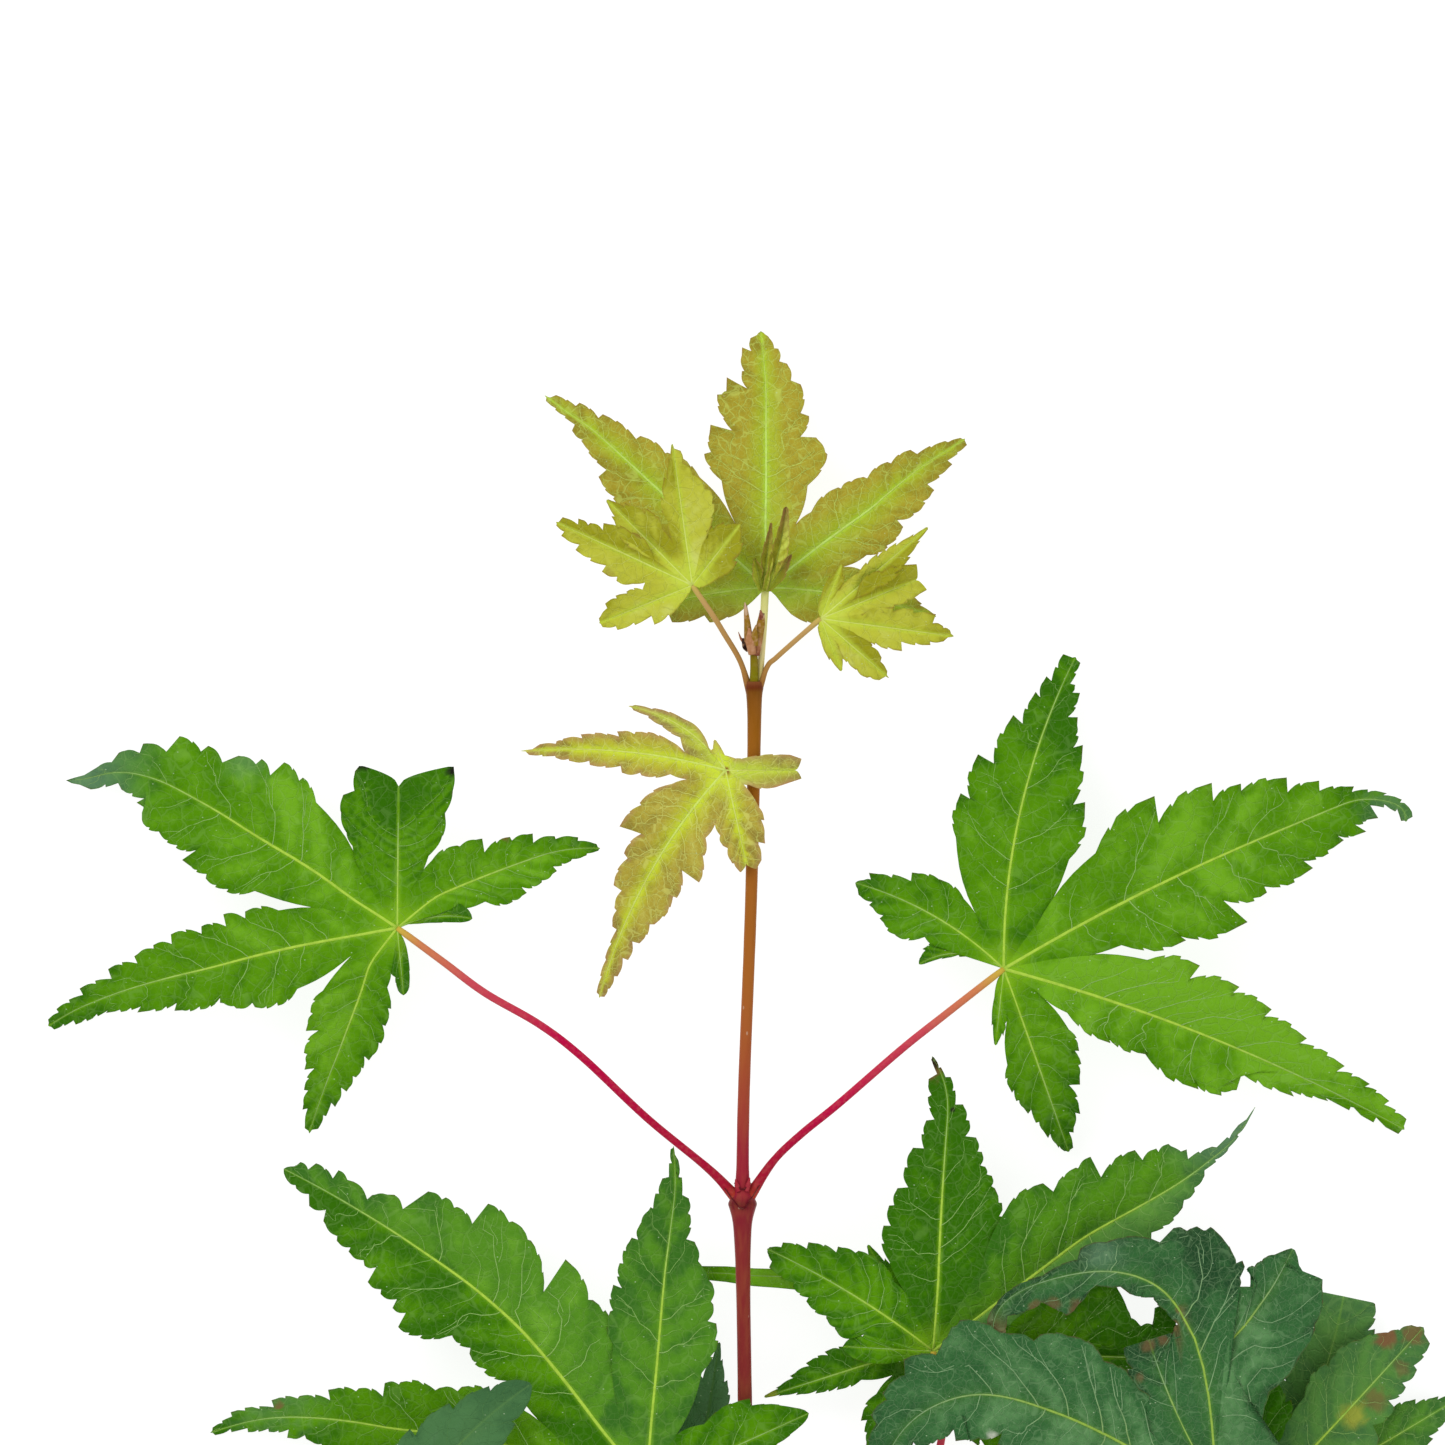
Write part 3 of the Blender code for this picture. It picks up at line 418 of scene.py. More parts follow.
TOP_BACK = leaf(
    "bronze", (3.1, 79.6, 12.0), 0.12,
    ((1.6, 318.0), (10.4, 15.0), (9.1, 65.0), (9.2, 116.0), (10.4, 168.0), (1.6, 225.0)),
    lobe(350.3, 22.4, 3.9,
         ((0.1, 3.4, 4.3, 0.3), (0.32, 3.8, 3.6, 0.6), (0.62, 2.6, 1.6, 0.95)), 9.5, bend=-16.0, cut=0.6,
         fresh=0.2, cool=0.05, tone=0.3),
    lobe(35.6, 32.6,
         ((0.1, 4.2, 4.7, 0.29), (0.3, 4.4, 4.5, 0.37), (0.375, 4.3, 3.7, 0.445), (0.455, 3.3, 3.2, 0.59),
          (0.6, 2.8, 2.6, 0.72), (0.735, 1.7, 1.1, 0.9), (0.91, 0.8, 0.4, 0.98)),
         ((0.15, 4.6, 4.5, 0.4), (0.4, 3.4, 4.0, 0.59), (0.585, 3.7, 3.4, 0.68), (0.67, 2.3, 1.9, 0.86),
          (0.85, 1.2, 0.8, 0.99)), 1.2, bend=-5.0, cut=0.6,
         sway=((0.0, 0.1), (0.35, 0.1), (0.5, 0.5), (0.7, 0.9), (1.0, 0.8))),
    lobe(92.0, 33.7,
         ((0.22, 5.8, 8.1, 0.36), (0.37, 7.2, 7.2, 0.512), (0.48, 4.4, 6.4, 0.67), (0.675, 5.8, 5.0, 0.765),
          (0.7, 2.4, 2.6, 0.925), (0.9, 1.5, 1.4, 0.99)),
         ((0.2, 5.4, 8.0, 0.36), (0.37, 7.7, 6.4, 0.445), (0.45, 4.5, 5.6, 0.56), (0.575, 4.5, 4.5, 0.715),
          (0.735, 3.3, 2.9, 0.82), (0.835, 2.0, 2.0, 0.9), (0.905, 1.5, 0.8, 0.98)), 0.5, bend=10.0,
         cut=0.8, end=(0.7, 0.6), tone=(-0.1, 0.2),
         sway=((0.0, 0.4), (0.3, 0.2), (0.5, 0.0), (0.7, -0.4), (1.0, -0.5))),
    lobe(139.0, 38.5,
         ((0.35, 4.2, 4.0, 0.575), (0.57, 2.7, 2.0, 0.745), (0.74, 1.8, 1.6, 0.81),
          (0.815, 0.8, 0.5, 0.98)),
         ((0.25, 4.8, 4.3, 0.43), (0.435, 4.1, 3.5, 0.565), (0.57, 2.9, 2.4, 0.745),
          (0.75, 1.7, 1.9, 0.855), (0.86, 1.3, 0.9, 0.96)), 0.8, cut=0.6,
         sway=((0.0, -0.3), (0.33, -0.4), (0.5, -0.6), (0.75, -0.8), (0.85, -0.4), (1.0, -0.1))),
    lobe(190.0, 16.3,
         ((0.1, 2.4, 3.7, 0.42), (0.45, 2.7, 2.6, 0.75), (0.76, 1.6, 0.8, 0.97)), 2.0, 10.0, bend=14.0,
         cut=0.6, fresh=0.3, cool=0.08, tone=0.1),
)
TOP_LEFT = leaf(
    "young", (-6.5, 79.8, 16.6), 0.5,
    ((1.2, 340.0), (5.5, 76.0), (5.9, 115.0), (5.9, 146.0), (6.1, 177.0), (1.2, 250.0)),
    lobe(52.0, 10.1, 2.7, 2.7, 16.8, teeth=3, point=0.8, tone=(-0.6, -0.9)),
    lobe(98.0, 18.5, 2.4,
         ((0.1, 3.0, 4.1, 0.5), (0.52, 3.4, 2.4, 0.66), (0.67, 2.1, 1.2, 0.79), (0.8, 1.0, 0.9, 0.92)),
         16.2, cut=0.9, tone=(-0.3, 0.4)),
    lobe(135.0, 15.7, 2.3, 3.0, 15.6, teeth=3, tone=(0.2, -0.4)),
    lobe(155.0, 19.5,
         ((0.1, 3.1, 3.6, 0.25), (0.26, 3.1, 3.3, 0.41), (0.4, 2.4, 2.2, 0.72), (0.71, 1.4, 1.3, 0.9),
          (0.89, 0.7, 0.4, 0.98)),
         ((0.1, 2.2, 2.9, 0.3), (0.3, 2.8, 2.4, 0.585), (0.565, 1.6, 1.7, 0.7), (0.71, 1.4, 1.6, 0.82),
          (0.8, 0.9, 0.9, 0.96)), 15.0, cut=0.9, tone=(0.2, -0.6)),
    lobe(202.0, 13.0,
         ((0.1, 1.6, 2.9, 0.44), (0.43, 1.7, 1.7, 0.83), (0.83, 1.2, 0.6, 0.98)),
         ((0.1, 1.9, 2.4, 0.4), (0.4, 2.2, 2.0, 0.81), (0.81, 1.4, 0.5, 0.98)), 15.4, cut=0.9,
         tone=(0.3, 0.2)),
)
TOP_RIGHT = leaf(
    "young", (10.1, 75.5, 16.6), 0.5,
    ((1.2, 250.0), (4.0, 303.0), (4.6, 337.0), (5.4, 5.5), (5.2, 30.0), (4.4, 58.0), (1.2, 110.0)),
    lobe(291.5, 7.3, 1.2, 1.2, 15.6, teeth=2, tone=0.3),
    lobe(319.0, 11.7,
         ((0.1, 1.5, 1.8, 0.4), (0.41, 1.6, 1.3, 0.67), (0.7, 0.9, 0.5, 0.9)),
         ((0.1, 1.6, 2.0, 0.5), (0.5, 1.9, 1.8, 0.72), (0.75, 1.5, 1.0, 0.9)), 15.4, cut=0.8,
         tone=(-1.1, 0.3)),
    lobe(352.5, 17.4,
         ((0.1, 2.2, 2.5, 0.78), (0.76, 1.3, 1.1, 0.87), (0.88, 0.9, 0.7, 0.95)),
         ((0.1, 1.8, 2.8, 0.5), (0.48, 1.6, 1.5, 0.775), (0.765, 1.1, 0.8, 0.9)), 15.0, cut=0.9,
         end=(0.3, 0.3), tone=(-0.1, 0.2)),
    lobe(22.0, 13.3,
         ((0.15, 2.3, 2.9, 0.5), (0.52, 2.6, 2.2, 0.9)),
         ((0.15, 1.7, 2.2, 0.5), (0.52, 2.0, 1.8, 0.9)), 15.8, end=(1.9, 1.7), ahead=0.8, cut=0.9,
         tone=(-1.1, 0.1)),
    lobe(40.4, 18.2, 1.6, 2.1, 16.2, tone=(0.3, -1.2)),
    lobe(69.0, 7.5, 1.2, 1.2, 16.6, teeth=2, tone=-0.8),
)
TOP_FRONT = leaf(
    "front", (-2.2, 55.9, 14.9), 0.2,
    ((7.2, 259.0), (3.0, 322.0), (2.0, 50.0), (3.2, 130.0), (5.8, 156.0), (5.2, 193.0), (7.2, 259.0)),
    lobe(282.4, 12.3,
         ((0.3, 3.2, 3.5, 0.48), (0.45, 3.1, 2.9, 0.76), (0.7, 2.0, 2.0, 0.92)),
         ((0.3, 2.5, 2.4, 0.53), (0.6, 1.9, 1.7, 0.86), (0.87, 1.5, 1.2, 0.96)), 15.4, cut=0.6,
         end=(1.2, 1.0), ahead=1.0),
    lobe(0.0, 9.0,
         ((0.1, 1.5, 2.0, 0.85),),
         ((0.1, 1.9, 2.2, 0.6),), 15.7, end=(1.5, 1.1), ahead=0.8, cut=0.4, cool=0.15),
    lobe(110.0, 4.2, 0.6, 0.5, 14.9, teeth=1),
    lobe(146.6, 15.1,
         ((0.2, 1.3, 1.2, 0.5), (0.5, 1.1, 0.8, 0.72), (0.73, 0.6, 0.4, 0.93)),
         ((0.2, 1.0, 1.0, 0.4), (0.42, 1.0, 0.6, 0.72), (0.75, 0.4, 0.3, 0.93)), 13.6, bend=47.0, cut=0.3,
         cool=0.14, tone=-0.3),
    lobe(174.7, 26.8,
         ((0.1, 2.1, 2.8, 0.27), (0.28, 2.5, 2.7, 0.39), (0.4, 1.9, 2.0, 0.585), (0.59, 1.5, 1.5, 0.71),
          (0.715, 1.3, 1.1, 0.79), (0.795, 0.9, 0.6, 0.95)),
         ((0.1, 2.2, 2.7, 0.31), (0.315, 2.4, 2.5, 0.42), (0.405, 1.9, 1.9, 0.635), (0.625, 1.4, 1.3, 0.74),
          (0.745, 1.1, 1.0, 0.78), (0.785, 0.7, 0.7, 0.88)), 8.6, bend=20.0, cut=0.6),
    lobe(241.0, 34.1,
         ((0.08, 3.6, 4.8, 0.155), (0.16, 4.6, 6.1, 0.285), (0.28, 3.4, 4.6, 0.41), (0.415, 4.1, 3.5, 0.58),
          (0.59, 3.0, 2.7, 0.695), (0.7, 1.8, 2.1, 0.79), (0.79, 1.4, 1.5, 0.88), (0.885, 1.1, 1.0, 0.945),
          (0.95, 0.8, 0.6, 0.99)),
         ((0.05, 4.1, 6.0, 0.187), (0.19, 5.7, 6.5, 0.31), (0.285, 3.6, 4.2, 0.39), (0.4, 3.5, 3.4, 0.525),
          (0.53, 2.2, 2.0, 0.61), (0.615, 1.7, 1.3, 0.685), (0.69, 0.7, 0.8, 0.82), (0.83, 0.6, 0.5, 0.98)),
         2.5, bend=28.0, cut=0.6),
)
LOW_LEFT = leaf(
    "mature", (-12.5, -37.2, 11.0), 0.16,
    ((2.0, 345.0), (7.9, 60.0), (10.0, 110.0), (12.6, 152.0), (10.0, 195.0), (7.0, 240.0), (2.0, 290.0)),
    lobe(24.5, 23.2, 5.1, 2.7, 11.6, teeth=2, peak=0.4, point=0.6, cut=0.2, end=(1.2, 0.9),
         tone=(-0.3, -0.7)),
    lobe(85.8, 44.3,
         ((0.26, 5.9, 6.6, 0.38), (0.385, 6.3, 6.5, 0.478), (0.465, 5.3, 4.8, 0.65), (0.645, 4.0, 4.0, 0.7),
          (0.71, 3.9, 2.8, 0.77), (0.765, 2.6, 1.6, 0.885), (0.89, 0.8, 0.4, 0.99)),
         ((0.22, 5.9, 7.2, 0.395), (0.4, 6.1, 6.6, 0.46), (0.47, 6.3, 6.2, 0.535), (0.55, 5.6, 4.4, 0.6),
          (0.61, 4.1, 3.2, 0.675), (0.68, 2.2, 2.3, 0.765), (0.77, 2.0, 1.8, 0.82), (0.83, 1.0, 0.5, 0.95)),
         9.4, bend=4.0, tone=(-0.4, -0.35), cool=0.1,
         sway=((0.0, 0.2), (0.4, 0.1), (0.55, 0.0), (0.7, -0.4), (0.85, -0.8), (1.0, -0.3))),
    lobe(139.4, 62.7,
         ((0.2, 5.4, 6.8, 0.335), (0.345, 6.2, 6.6, 0.4), (0.405, 6.5, 9.8, 0.54), (0.545, 7.8, 8.2, 0.58),
          (0.583, 7.0, 7.6, 0.625), (0.63, 7.1, 7.2, 0.67), (0.672, 5.1, 5.7, 0.7), (0.71, 5.2, 5.2, 0.755),
          (0.756, 4.7, 4.8, 0.795), (0.8, 4.3, 3.4, 0.85), (0.858, 2.1, 2.7, 0.9), (0.915, 1.4, 1.5, 0.95),
          (0.955, 1.2, 1.1, 0.99)),
         ((0.14, 8.4, 9.6, 0.245), (0.25, 9.2, 10.7, 0.345), (0.325, 5.6, 9.6, 0.42),
          (0.425, 9.4, 10.0, 0.475), (0.48, 9.7, 10.0, 0.54), (0.543, 6.7, 7.4, 0.595),
          (0.6, 7.1, 7.6, 0.63), (0.635, 7.1, 6.9, 0.672), (0.7, 3.2, 4.2, 0.735), (0.75, 3.7, 2.5, 0.78),
          (0.785, 1.8, 2.9, 0.835), (0.85, 2.7, 3.2, 0.88), (0.882, 1.9, 2.6, 0.935),
          (0.945, 1.4, 1.8, 0.97), (0.975, 1.2, 0.9, 0.99)), 0.6, bend=33.0, end=(1.0, 0.8),
         tone=(-0.55, 0.1), cool=(0.0, 0.1),
         sway=((0.0, 0.5), (0.15, 0.1), (0.3, -0.4), (0.45, -0.3), (0.6, 0.1), (0.8, 0.2), (1.0, 0.0))),
    lobe(173.6, 57.6,
         ((0.2, 5.5, 5.8, 0.38), (0.4, 5.2, 5.2, 0.55), (0.56, 4.4, 2.7, 0.735), (0.74, 2.3, 2.6, 0.79),
          (0.785, 1.6, 1.3, 0.9), (0.9, 0.8, 0.5, 0.99)),
         ((0.2, 6.1, 6.6, 0.3), (0.31, 6.0, 6.0, 0.36), (0.37, 5.7, 6.2, 0.47), (0.475, 5.9, 5.7, 0.52),
          (0.52, 4.0, 4.5, 0.59), (0.595, 4.1, 3.8, 0.67), (0.662, 2.5, 2.8, 0.745), (0.75, 2.5, 2.3, 0.82),
          (0.815, 1.4, 1.8, 0.93), (0.93, 1.2, 0.5, 0.99)), 0.5, bend=28.0,
         sway=((0.0, 0.0), (0.5, 0.0), (0.6, -0.6), (0.7, -1.0), (0.8, -1.2), (0.87, -1.0), (0.94, -0.4),
               (1.0, 0.2))),
    lobe(216.0, 38.0, 6.0, 6.0, 0.5, teeth=5),
    lobe(262.0, 20.0, 4.0, 4.0, 2.6, teeth=3),
)
LOW_RIGHT = leaf(
    "mature", (24.8, -19.6, 10.8), 0.16,
    ((2.0, 278.0), (8.0, 340.0), (10.0, 19.0), (12.1, 60.0), (7.3, 114.0), (9.2, 166.0), (1.6, 218.0)),
    lobe(315.0, 24.0, 4.5, 4.5, 8.4),
    lobe(358.0, 33.0,
         ((0.25, 7.5, 9.8, 0.45), (0.46, 9.4, 9.4, 0.6), (0.61, 8.9, 5.6, 0.68), (0.69, 5.2, 4.2, 0.74),
          (0.745, 4.2, 4.4, 0.81), (0.815, 6.6, 6.4, 0.93), (0.935, 4.6, 2.6, 0.99)), 8.0, 9.2,
         end=(1.5, 1.5), tone=-0.5),
    lobe(37.0, 52.5,
         ((0.18, 9.0, 8.9, 0.318), (0.325, 7.3, 8.5, 0.41), (0.415, 8.3, 8.8, 0.465),
          (0.463, 5.8, 6.7, 0.6), (0.605, 5.1, 5.4, 0.665), (0.665, 4.9, 5.0, 0.71),
          (0.715, 4.6, 2.9, 0.75), (0.735, 1.9, 1.2, 0.82), (0.83, 0.8, 0.6, 0.93)),
         ((0.1, 5.2, 5.6, 0.25), (0.26, 5.2, 5.3, 0.4), (0.41, 4.8, 4.4, 0.52), (0.53, 3.7, 2.9, 0.645),
          (0.66, 2.2, 2.0, 0.7), (0.705, 1.6, 1.1, 0.75), (0.76, 0.6, 0.5, 0.85), (0.86, 0.3, 0.2, 0.95)),
         8.0, cut=0.8, tone=(-0.2, 0.0), cool=(0.05, 0.3), pale_tip=0.68,
         sway=((0.0, 0.0), (0.33, 0.0), (0.42, -0.5), (0.5, -1.0), (0.6, -1.6), (0.7, -2.0), (0.88, -1.9),
               (0.94, -1.0), (1.0, 0.0))),
    lobe(90.4, 38.0,
         ((0.15, 6.5, 7.4, 0.29), (0.29, 6.5, 6.8, 0.37), (0.372, 6.2, 5.8, 0.44), (0.445, 4.5, 4.1, 0.605),
          (0.605, 2.8, 2.7, 0.72), (0.727, 1.7, 2.5, 0.83), (0.84, 2.0, 1.7, 0.92),
          (0.925, 0.5, 0.3, 0.99)),
         ((0.2, 7.2, 6.7, 0.4), (0.41, 6.3, 6.2, 0.46), (0.465, 5.6, 5.3, 0.5), (0.505, 4.7, 4.7, 0.57),
          (0.57, 4.2, 3.8, 0.635), (0.637, 2.5, 2.8, 0.71), (0.712, 2.4, 1.9, 0.775),
          (0.775, 1.0, 1.0, 0.89), (0.895, 0.4, 0.15, 0.99)), 7.4, tone=(-0.9, -0.8),
         turns=((0.0, 89.0), (0.8, 85.0), (1.0, 125.0)), sway=((0.0, -0.4), (1.0, -0.3))),
    lobe(148.6, 25.3,
         ((0.1, 5.2, 4.9, 0.23), (0.24, 4.8, 4.3, 0.34), (0.35, 4.1, 3.7, 0.55), (0.55, 3.2, 2.9, 0.7),
          (0.705, 2.4, 2.0, 0.93), (0.93, 1.2, 0.3, 0.99)),
         ((0.15, 4.3, 5.3, 0.45), (0.46, 4.9, 4.4, 0.58), (0.57, 3.7, 3.1, 0.765), (0.755, 2.3, 1.6, 0.92),
          (0.915, 1.0, 0.3, 0.99)), 9.0, bend=14.0, cut=0.7, tone=-0.3),
    lobe(177.0, 11.8, 2.4, 1.6, 10.4, teeth=1, peak=0.6, point=0.5, cut=0.2, end=(1.7, 1.3)),
)
HOOKED = leaf(
    "dark", (61.2, -36.7, 16.0), 0.1,
    ((2.0, 262.0), (7.0, 312.0), (11.0, 20.0), (26.0, 83.0), (21.5, 103.2), (13.8, 132.0), (3.0, 215.0)),
    lobe(285.0, 20.0, 4.5, 4.5, 12.5),
    lobe(335.0, 30.0, 6.0, 5.5, 12.0, teeth=5),
    lobe(71.7, 32.2,
         ((0.3, 3.9, 3.8, 0.5), (0.52, 3.5, 3.0, 0.68), (0.7, 2.9, 2.5, 0.8), (0.82, 2.4, 1.7, 0.94)),
         ((0.3, 7.9, 8.1, 0.5), (0.52, 8.0, 7.5, 0.66), (0.67, 7.2, 6.5, 0.8), (0.81, 6.3, 5.6, 0.9),
          (0.91, 5.2, 3.4, 0.97)), 14.0, cut=0.1, end=(1.5, 1.95), tone=(0.4, 0.45),
         sway=((0.0, 5.0), (0.13, 4.2), (0.3, 2.8), (0.5, 1.8), (0.65, 1.0), (0.85, 0.4), (1.0, 0.0))),
    lobe(146.9, 32.4,
         ((0.09, 1.6, 1.6, 0.16), (0.17, 1.5, 2.4, 0.28), (0.33, 1.8, 1.7, 0.45), (0.46, 2.0, 5.0, 0.6),
          (0.61, 4.5, 2.6, 0.68), (0.69, 2.4, 2.0, 0.83), (0.85, 1.4, 1.5, 0.97)),
         ((0.02, 8.9, 10.4, 0.05), (0.057, 9.5, 10.3, 0.148), (0.155, 9.6, 8.5, 0.185),
          (0.19, 8.2, 7.6, 0.222), (0.235, 5.2, 3.9, 0.39), (0.4, 3.8, 3.1, 0.49), (0.505, 1.8, 0.9, 0.64),
          (0.65, 0.8, 0.8, 0.83), (0.84, 0.7, 0.9, 0.96)), 15.4, cut=0.3, end=(0.7, 0.7), tone=(0.0, -0.2),
         brown_tip=0.9,
         turns=((0.0, 91.0), (0.2, 96.0), (0.33, 104.0), (0.45, 128.0), (0.58, 168.0), (0.68, 187.0),
                (0.85, 203.0), (0.92, 245.0), (1.0, 290.0)),
         sway=((0.0, 0.3), (0.1, -0.2), (0.21, -0.5), (0.324, -0.8), (0.437, -1.0), (0.775, -1.2),
               (0.865, -2.0), (1.0, -1.4))),
    lobe(114.5, 20.8, 3.8, 4.0, 15.6, bend=-15.0, teeth=2, peak=0.35, point=0.8, cut=0.6, end=(3.2, 3.0)),
    lobe(178.0, 43.3,
         ((0.2, 5.5, 6.5), (0.4, 6.0, 6.2), (0.58, 4.7, 5.2), (0.75, 3.8, 3.2), (0.88, 2.0, 1.2)),
         ((0.1, 7.0, 8.6, 0.24), (0.25, 8.5, 10.1, 0.37), (0.385, 9.9, 8.9, 0.47), (0.48, 8.0, 8.2, 0.54),
          (0.56, 8.2, 9.9, 0.635), (0.645, 9.3, 6.8, 0.68), (0.69, 6.1, 7.2, 0.76), (0.77, 5.4, 5.2, 0.83),
          (0.835, 4.3, 4.4, 0.885), (0.89, 3.3, 2.0, 0.98)), 14.0, bend=93.0, cut=0.6, tone=(0.55, 0.3),
         sway=((0.0, 3.2), (0.15, 2.6), (0.26, 2.0), (0.35, 1.1), (0.43, 0.2), (0.52, -1.3), (0.6, -2.6),
               (0.68, -3.3), (0.78, -3.4), (0.86, -2.8), (0.93, -1.6), (1.0, 0.0))),
)
SHADED = leaf(
    "deep", (-48.2, -50.0, 14.2), 0.12,
    ((2.0, 15.0), (7.6, 82.0), (6.6, 135.0), (6.6, 190.0), (6.0, 246.0), (2.0, 308.0)),
    lobe(51.8, 33.6, 5.9, 5.9, 14.6, bend=-36.0, teeth=4, cut=0.4, end=(1.9, 1.9), cool=0.25),
    lobe(108.0, 16.5, 4.0, 4.0, 12.5, teeth=3),
    lobe(163.0, 22.0, 4.5, 4.5, 10.0),
    lobe(218.0, 25.0, 4.5, 4.5, 8.0),
    lobe(273.0, 17.0, 3.5, 3.5, 10.0, teeth=3),
)
BEHIND_STEM = leaf(
    "deep", (-6.8, -42.9, 3.8), 0.1,
    ((1.8, 340.0), (5.0, 55.0), (5.6, 108.0), (4.8, 163.0), (1.8, 238.0)),
    lobe(27.0, 16.5, 3.3, 3.3, 2.0, teeth=3, tone=0.6),
    lobe(81.0, 24.3, 3.6, 3.6, 3.8, teeth=5, tone=1.7),
    lobe(135.0, 19.0, 3.6, 3.6, 2.6, teeth=3, tone=0.6),
    lobe(190.0, 12.0, 2.8, 2.8, 3.0, teeth=3),
)
UNDER = leaf(
    "mature", (23.4, -19.3, 6.4), 0.1,
    ((2.0, 80.0), (4.2, 139.0), (5.0, 179.0), (5.4, 224.0), (4.8, 274.0), (2.0, 330.0)),
    lobe(118.0, 15.0, 2.6, 2.6, 5.6, teeth=3),
    lobe(162.4, 31.5, 0.85, 0.85, 4.2, bend=36.0, teeth=1, cut=0.0, end=(0.8, 0.8), tone=0.9,
         sway=((0.0, -1.2), (0.2, -1.9), (0.4, -1.8), (0.55, -1.0), (0.7, -0.2), (1.0, 0.0)),
         widths=(((0.15, 2.0), (0.42, 1.9), (0.64, 1.2), (0.69, 0.85), (1.0, 0.8)), ((0.15, 0.95),
                                                                                     (1.0, 0.8)))),
    lobe(198.0, 21.6, 1.9, 3.1, 4.8, teeth=5, tone=-0.7),
    lobe(248.0, 17.8, 3.9, 3.9, 4.0, teeth=3, tone=-0.7),
    lobe(300.0, 15.0, 3.2, 3.2, 4.4, teeth=3),
)
SCORCHED = leaf(
    "mature", (67.5, -39.0, 7.6), 0.12,
    ((2.0, 270.0), (6.4, 324.0), (7.4, 17.0), (7.0, 73.0), (2.0, 140.0)),
    lobe(300.0, 18.0, 4.0, 4.0, 4.6, teeth=3),
    lobe(348.0, 26.0, 4.6, 4.6, 4.2),
    lobe(46.5, 30.8,
         ((0.3, 5.4, 5.5, 0.7), (0.72, 5.0, 3.2, 0.84), (0.85, 3.0, 2.2, 0.9), (0.9, 2.1, 1.3, 0.97)),
         ((0.2, 5.2, 5.5, 0.4), (0.43, 3.7, 4.2, 0.58), (0.585, 3.0, 3.5, 0.7), (0.705, 2.8, 3.0, 0.81),
          (0.815, 2.4, 2.0, 0.96)), 4.0, end=(0.8, 0.8), tone=-0.3, cool=0.35,
         sway=((0.0, -0.5), (1.0, -0.4))),
    lobe(94.0, 19.5, 4.8, 4.8, 6.0, teeth=4, tone=-0.8),
)
EDGE = leaf(
    "mature", (67.5, -41.6, 4.0), 0.1,
    ((2.0, 262.0), (5.6, 316.0), (6.6, 5.0), (9.6, 47.0), (6.6, 88.0), (2.0, 150.0)),
    lobe(292.0, 16.0, 3.6, 3.6, 0.6, teeth=3),
    lobe(340.0, 26.0, 4.6, 4.6, 0.6),
    lobe(30.0, 32.8, 4.4, 4.4, 0.6, teeth=6, tone=-0.2, cool=0.2),
    lobe(68.6, 30.7, 5.0, 5.0, 1.8, bend=20.0, teeth=4, peak=0.5, point=0.8, end=(3.9, 3.9), tone=0.1,
         cool=0.4),
    lobe(112.0, 18.0, 3.6, 3.6, 3.0, teeth=3),
)
LEAFLET_FOLDED_LEFT = leaf(
    "folded", (2.6, 79.0, 14.4), 0.7,
    ((0.6, 20.0), (1.6, 96.0), (0.5, 164.0)),
    lobe(83.0, 9.0, 0.7, 0.8, 15.6, teeth=4, tone=(-0.4, 0.8), brown_tip=0.45),
    lobe(104.0, 4.6, 0.8, 0.7, 15.0, teeth=3, tone=(0.4, -0.8)),
)
LEAFLET_FOLDED_RIGHT = leaf(
    "folded", (3.1, 79.0, 14.5), 0.7,
    ((0.5, 5.0), (2.2, 62.0), (0.6, 152.0)),
    lobe(56.0, 5.8, 0.8, 0.9, 15.2, teeth=3, tone=(0.5, -1.0), brown_tip=0.4),
    lobe(77.0, 11.3, 0.85, 1.1, 15.9, bend=14.0, teeth=5, tone=(-0.4, 0.9), end=(0.3, 0.3), brown_tip=0.5),
)

BLADES = {
    "blade_middle_left": MIDDLE_LEFT,
    "blade_middle_right": MIDDLE_RIGHT,
    "blade_top_back": TOP_BACK,
    "blade_top_left": TOP_LEFT,
    "blade_top_right": TOP_RIGHT,
    "blade_top_front": TOP_FRONT,
    "blade_low_left": LOW_LEFT,
    "blade_low_right": LOW_RIGHT,
    "blade_hooked": HOOKED,
    "blade_shaded": SHADED,
    "blade_behind_stem": BEHIND_STEM,
    "blade_under": UNDER,
    "blade_scorched": SCORCHED,
    "blade_edge": EDGE,
    "leaflet_folded_left": LEAFLET_FOLDED_LEFT,
    "leaflet_folded_right": LEAFLET_FOLDED_RIGHT,
}

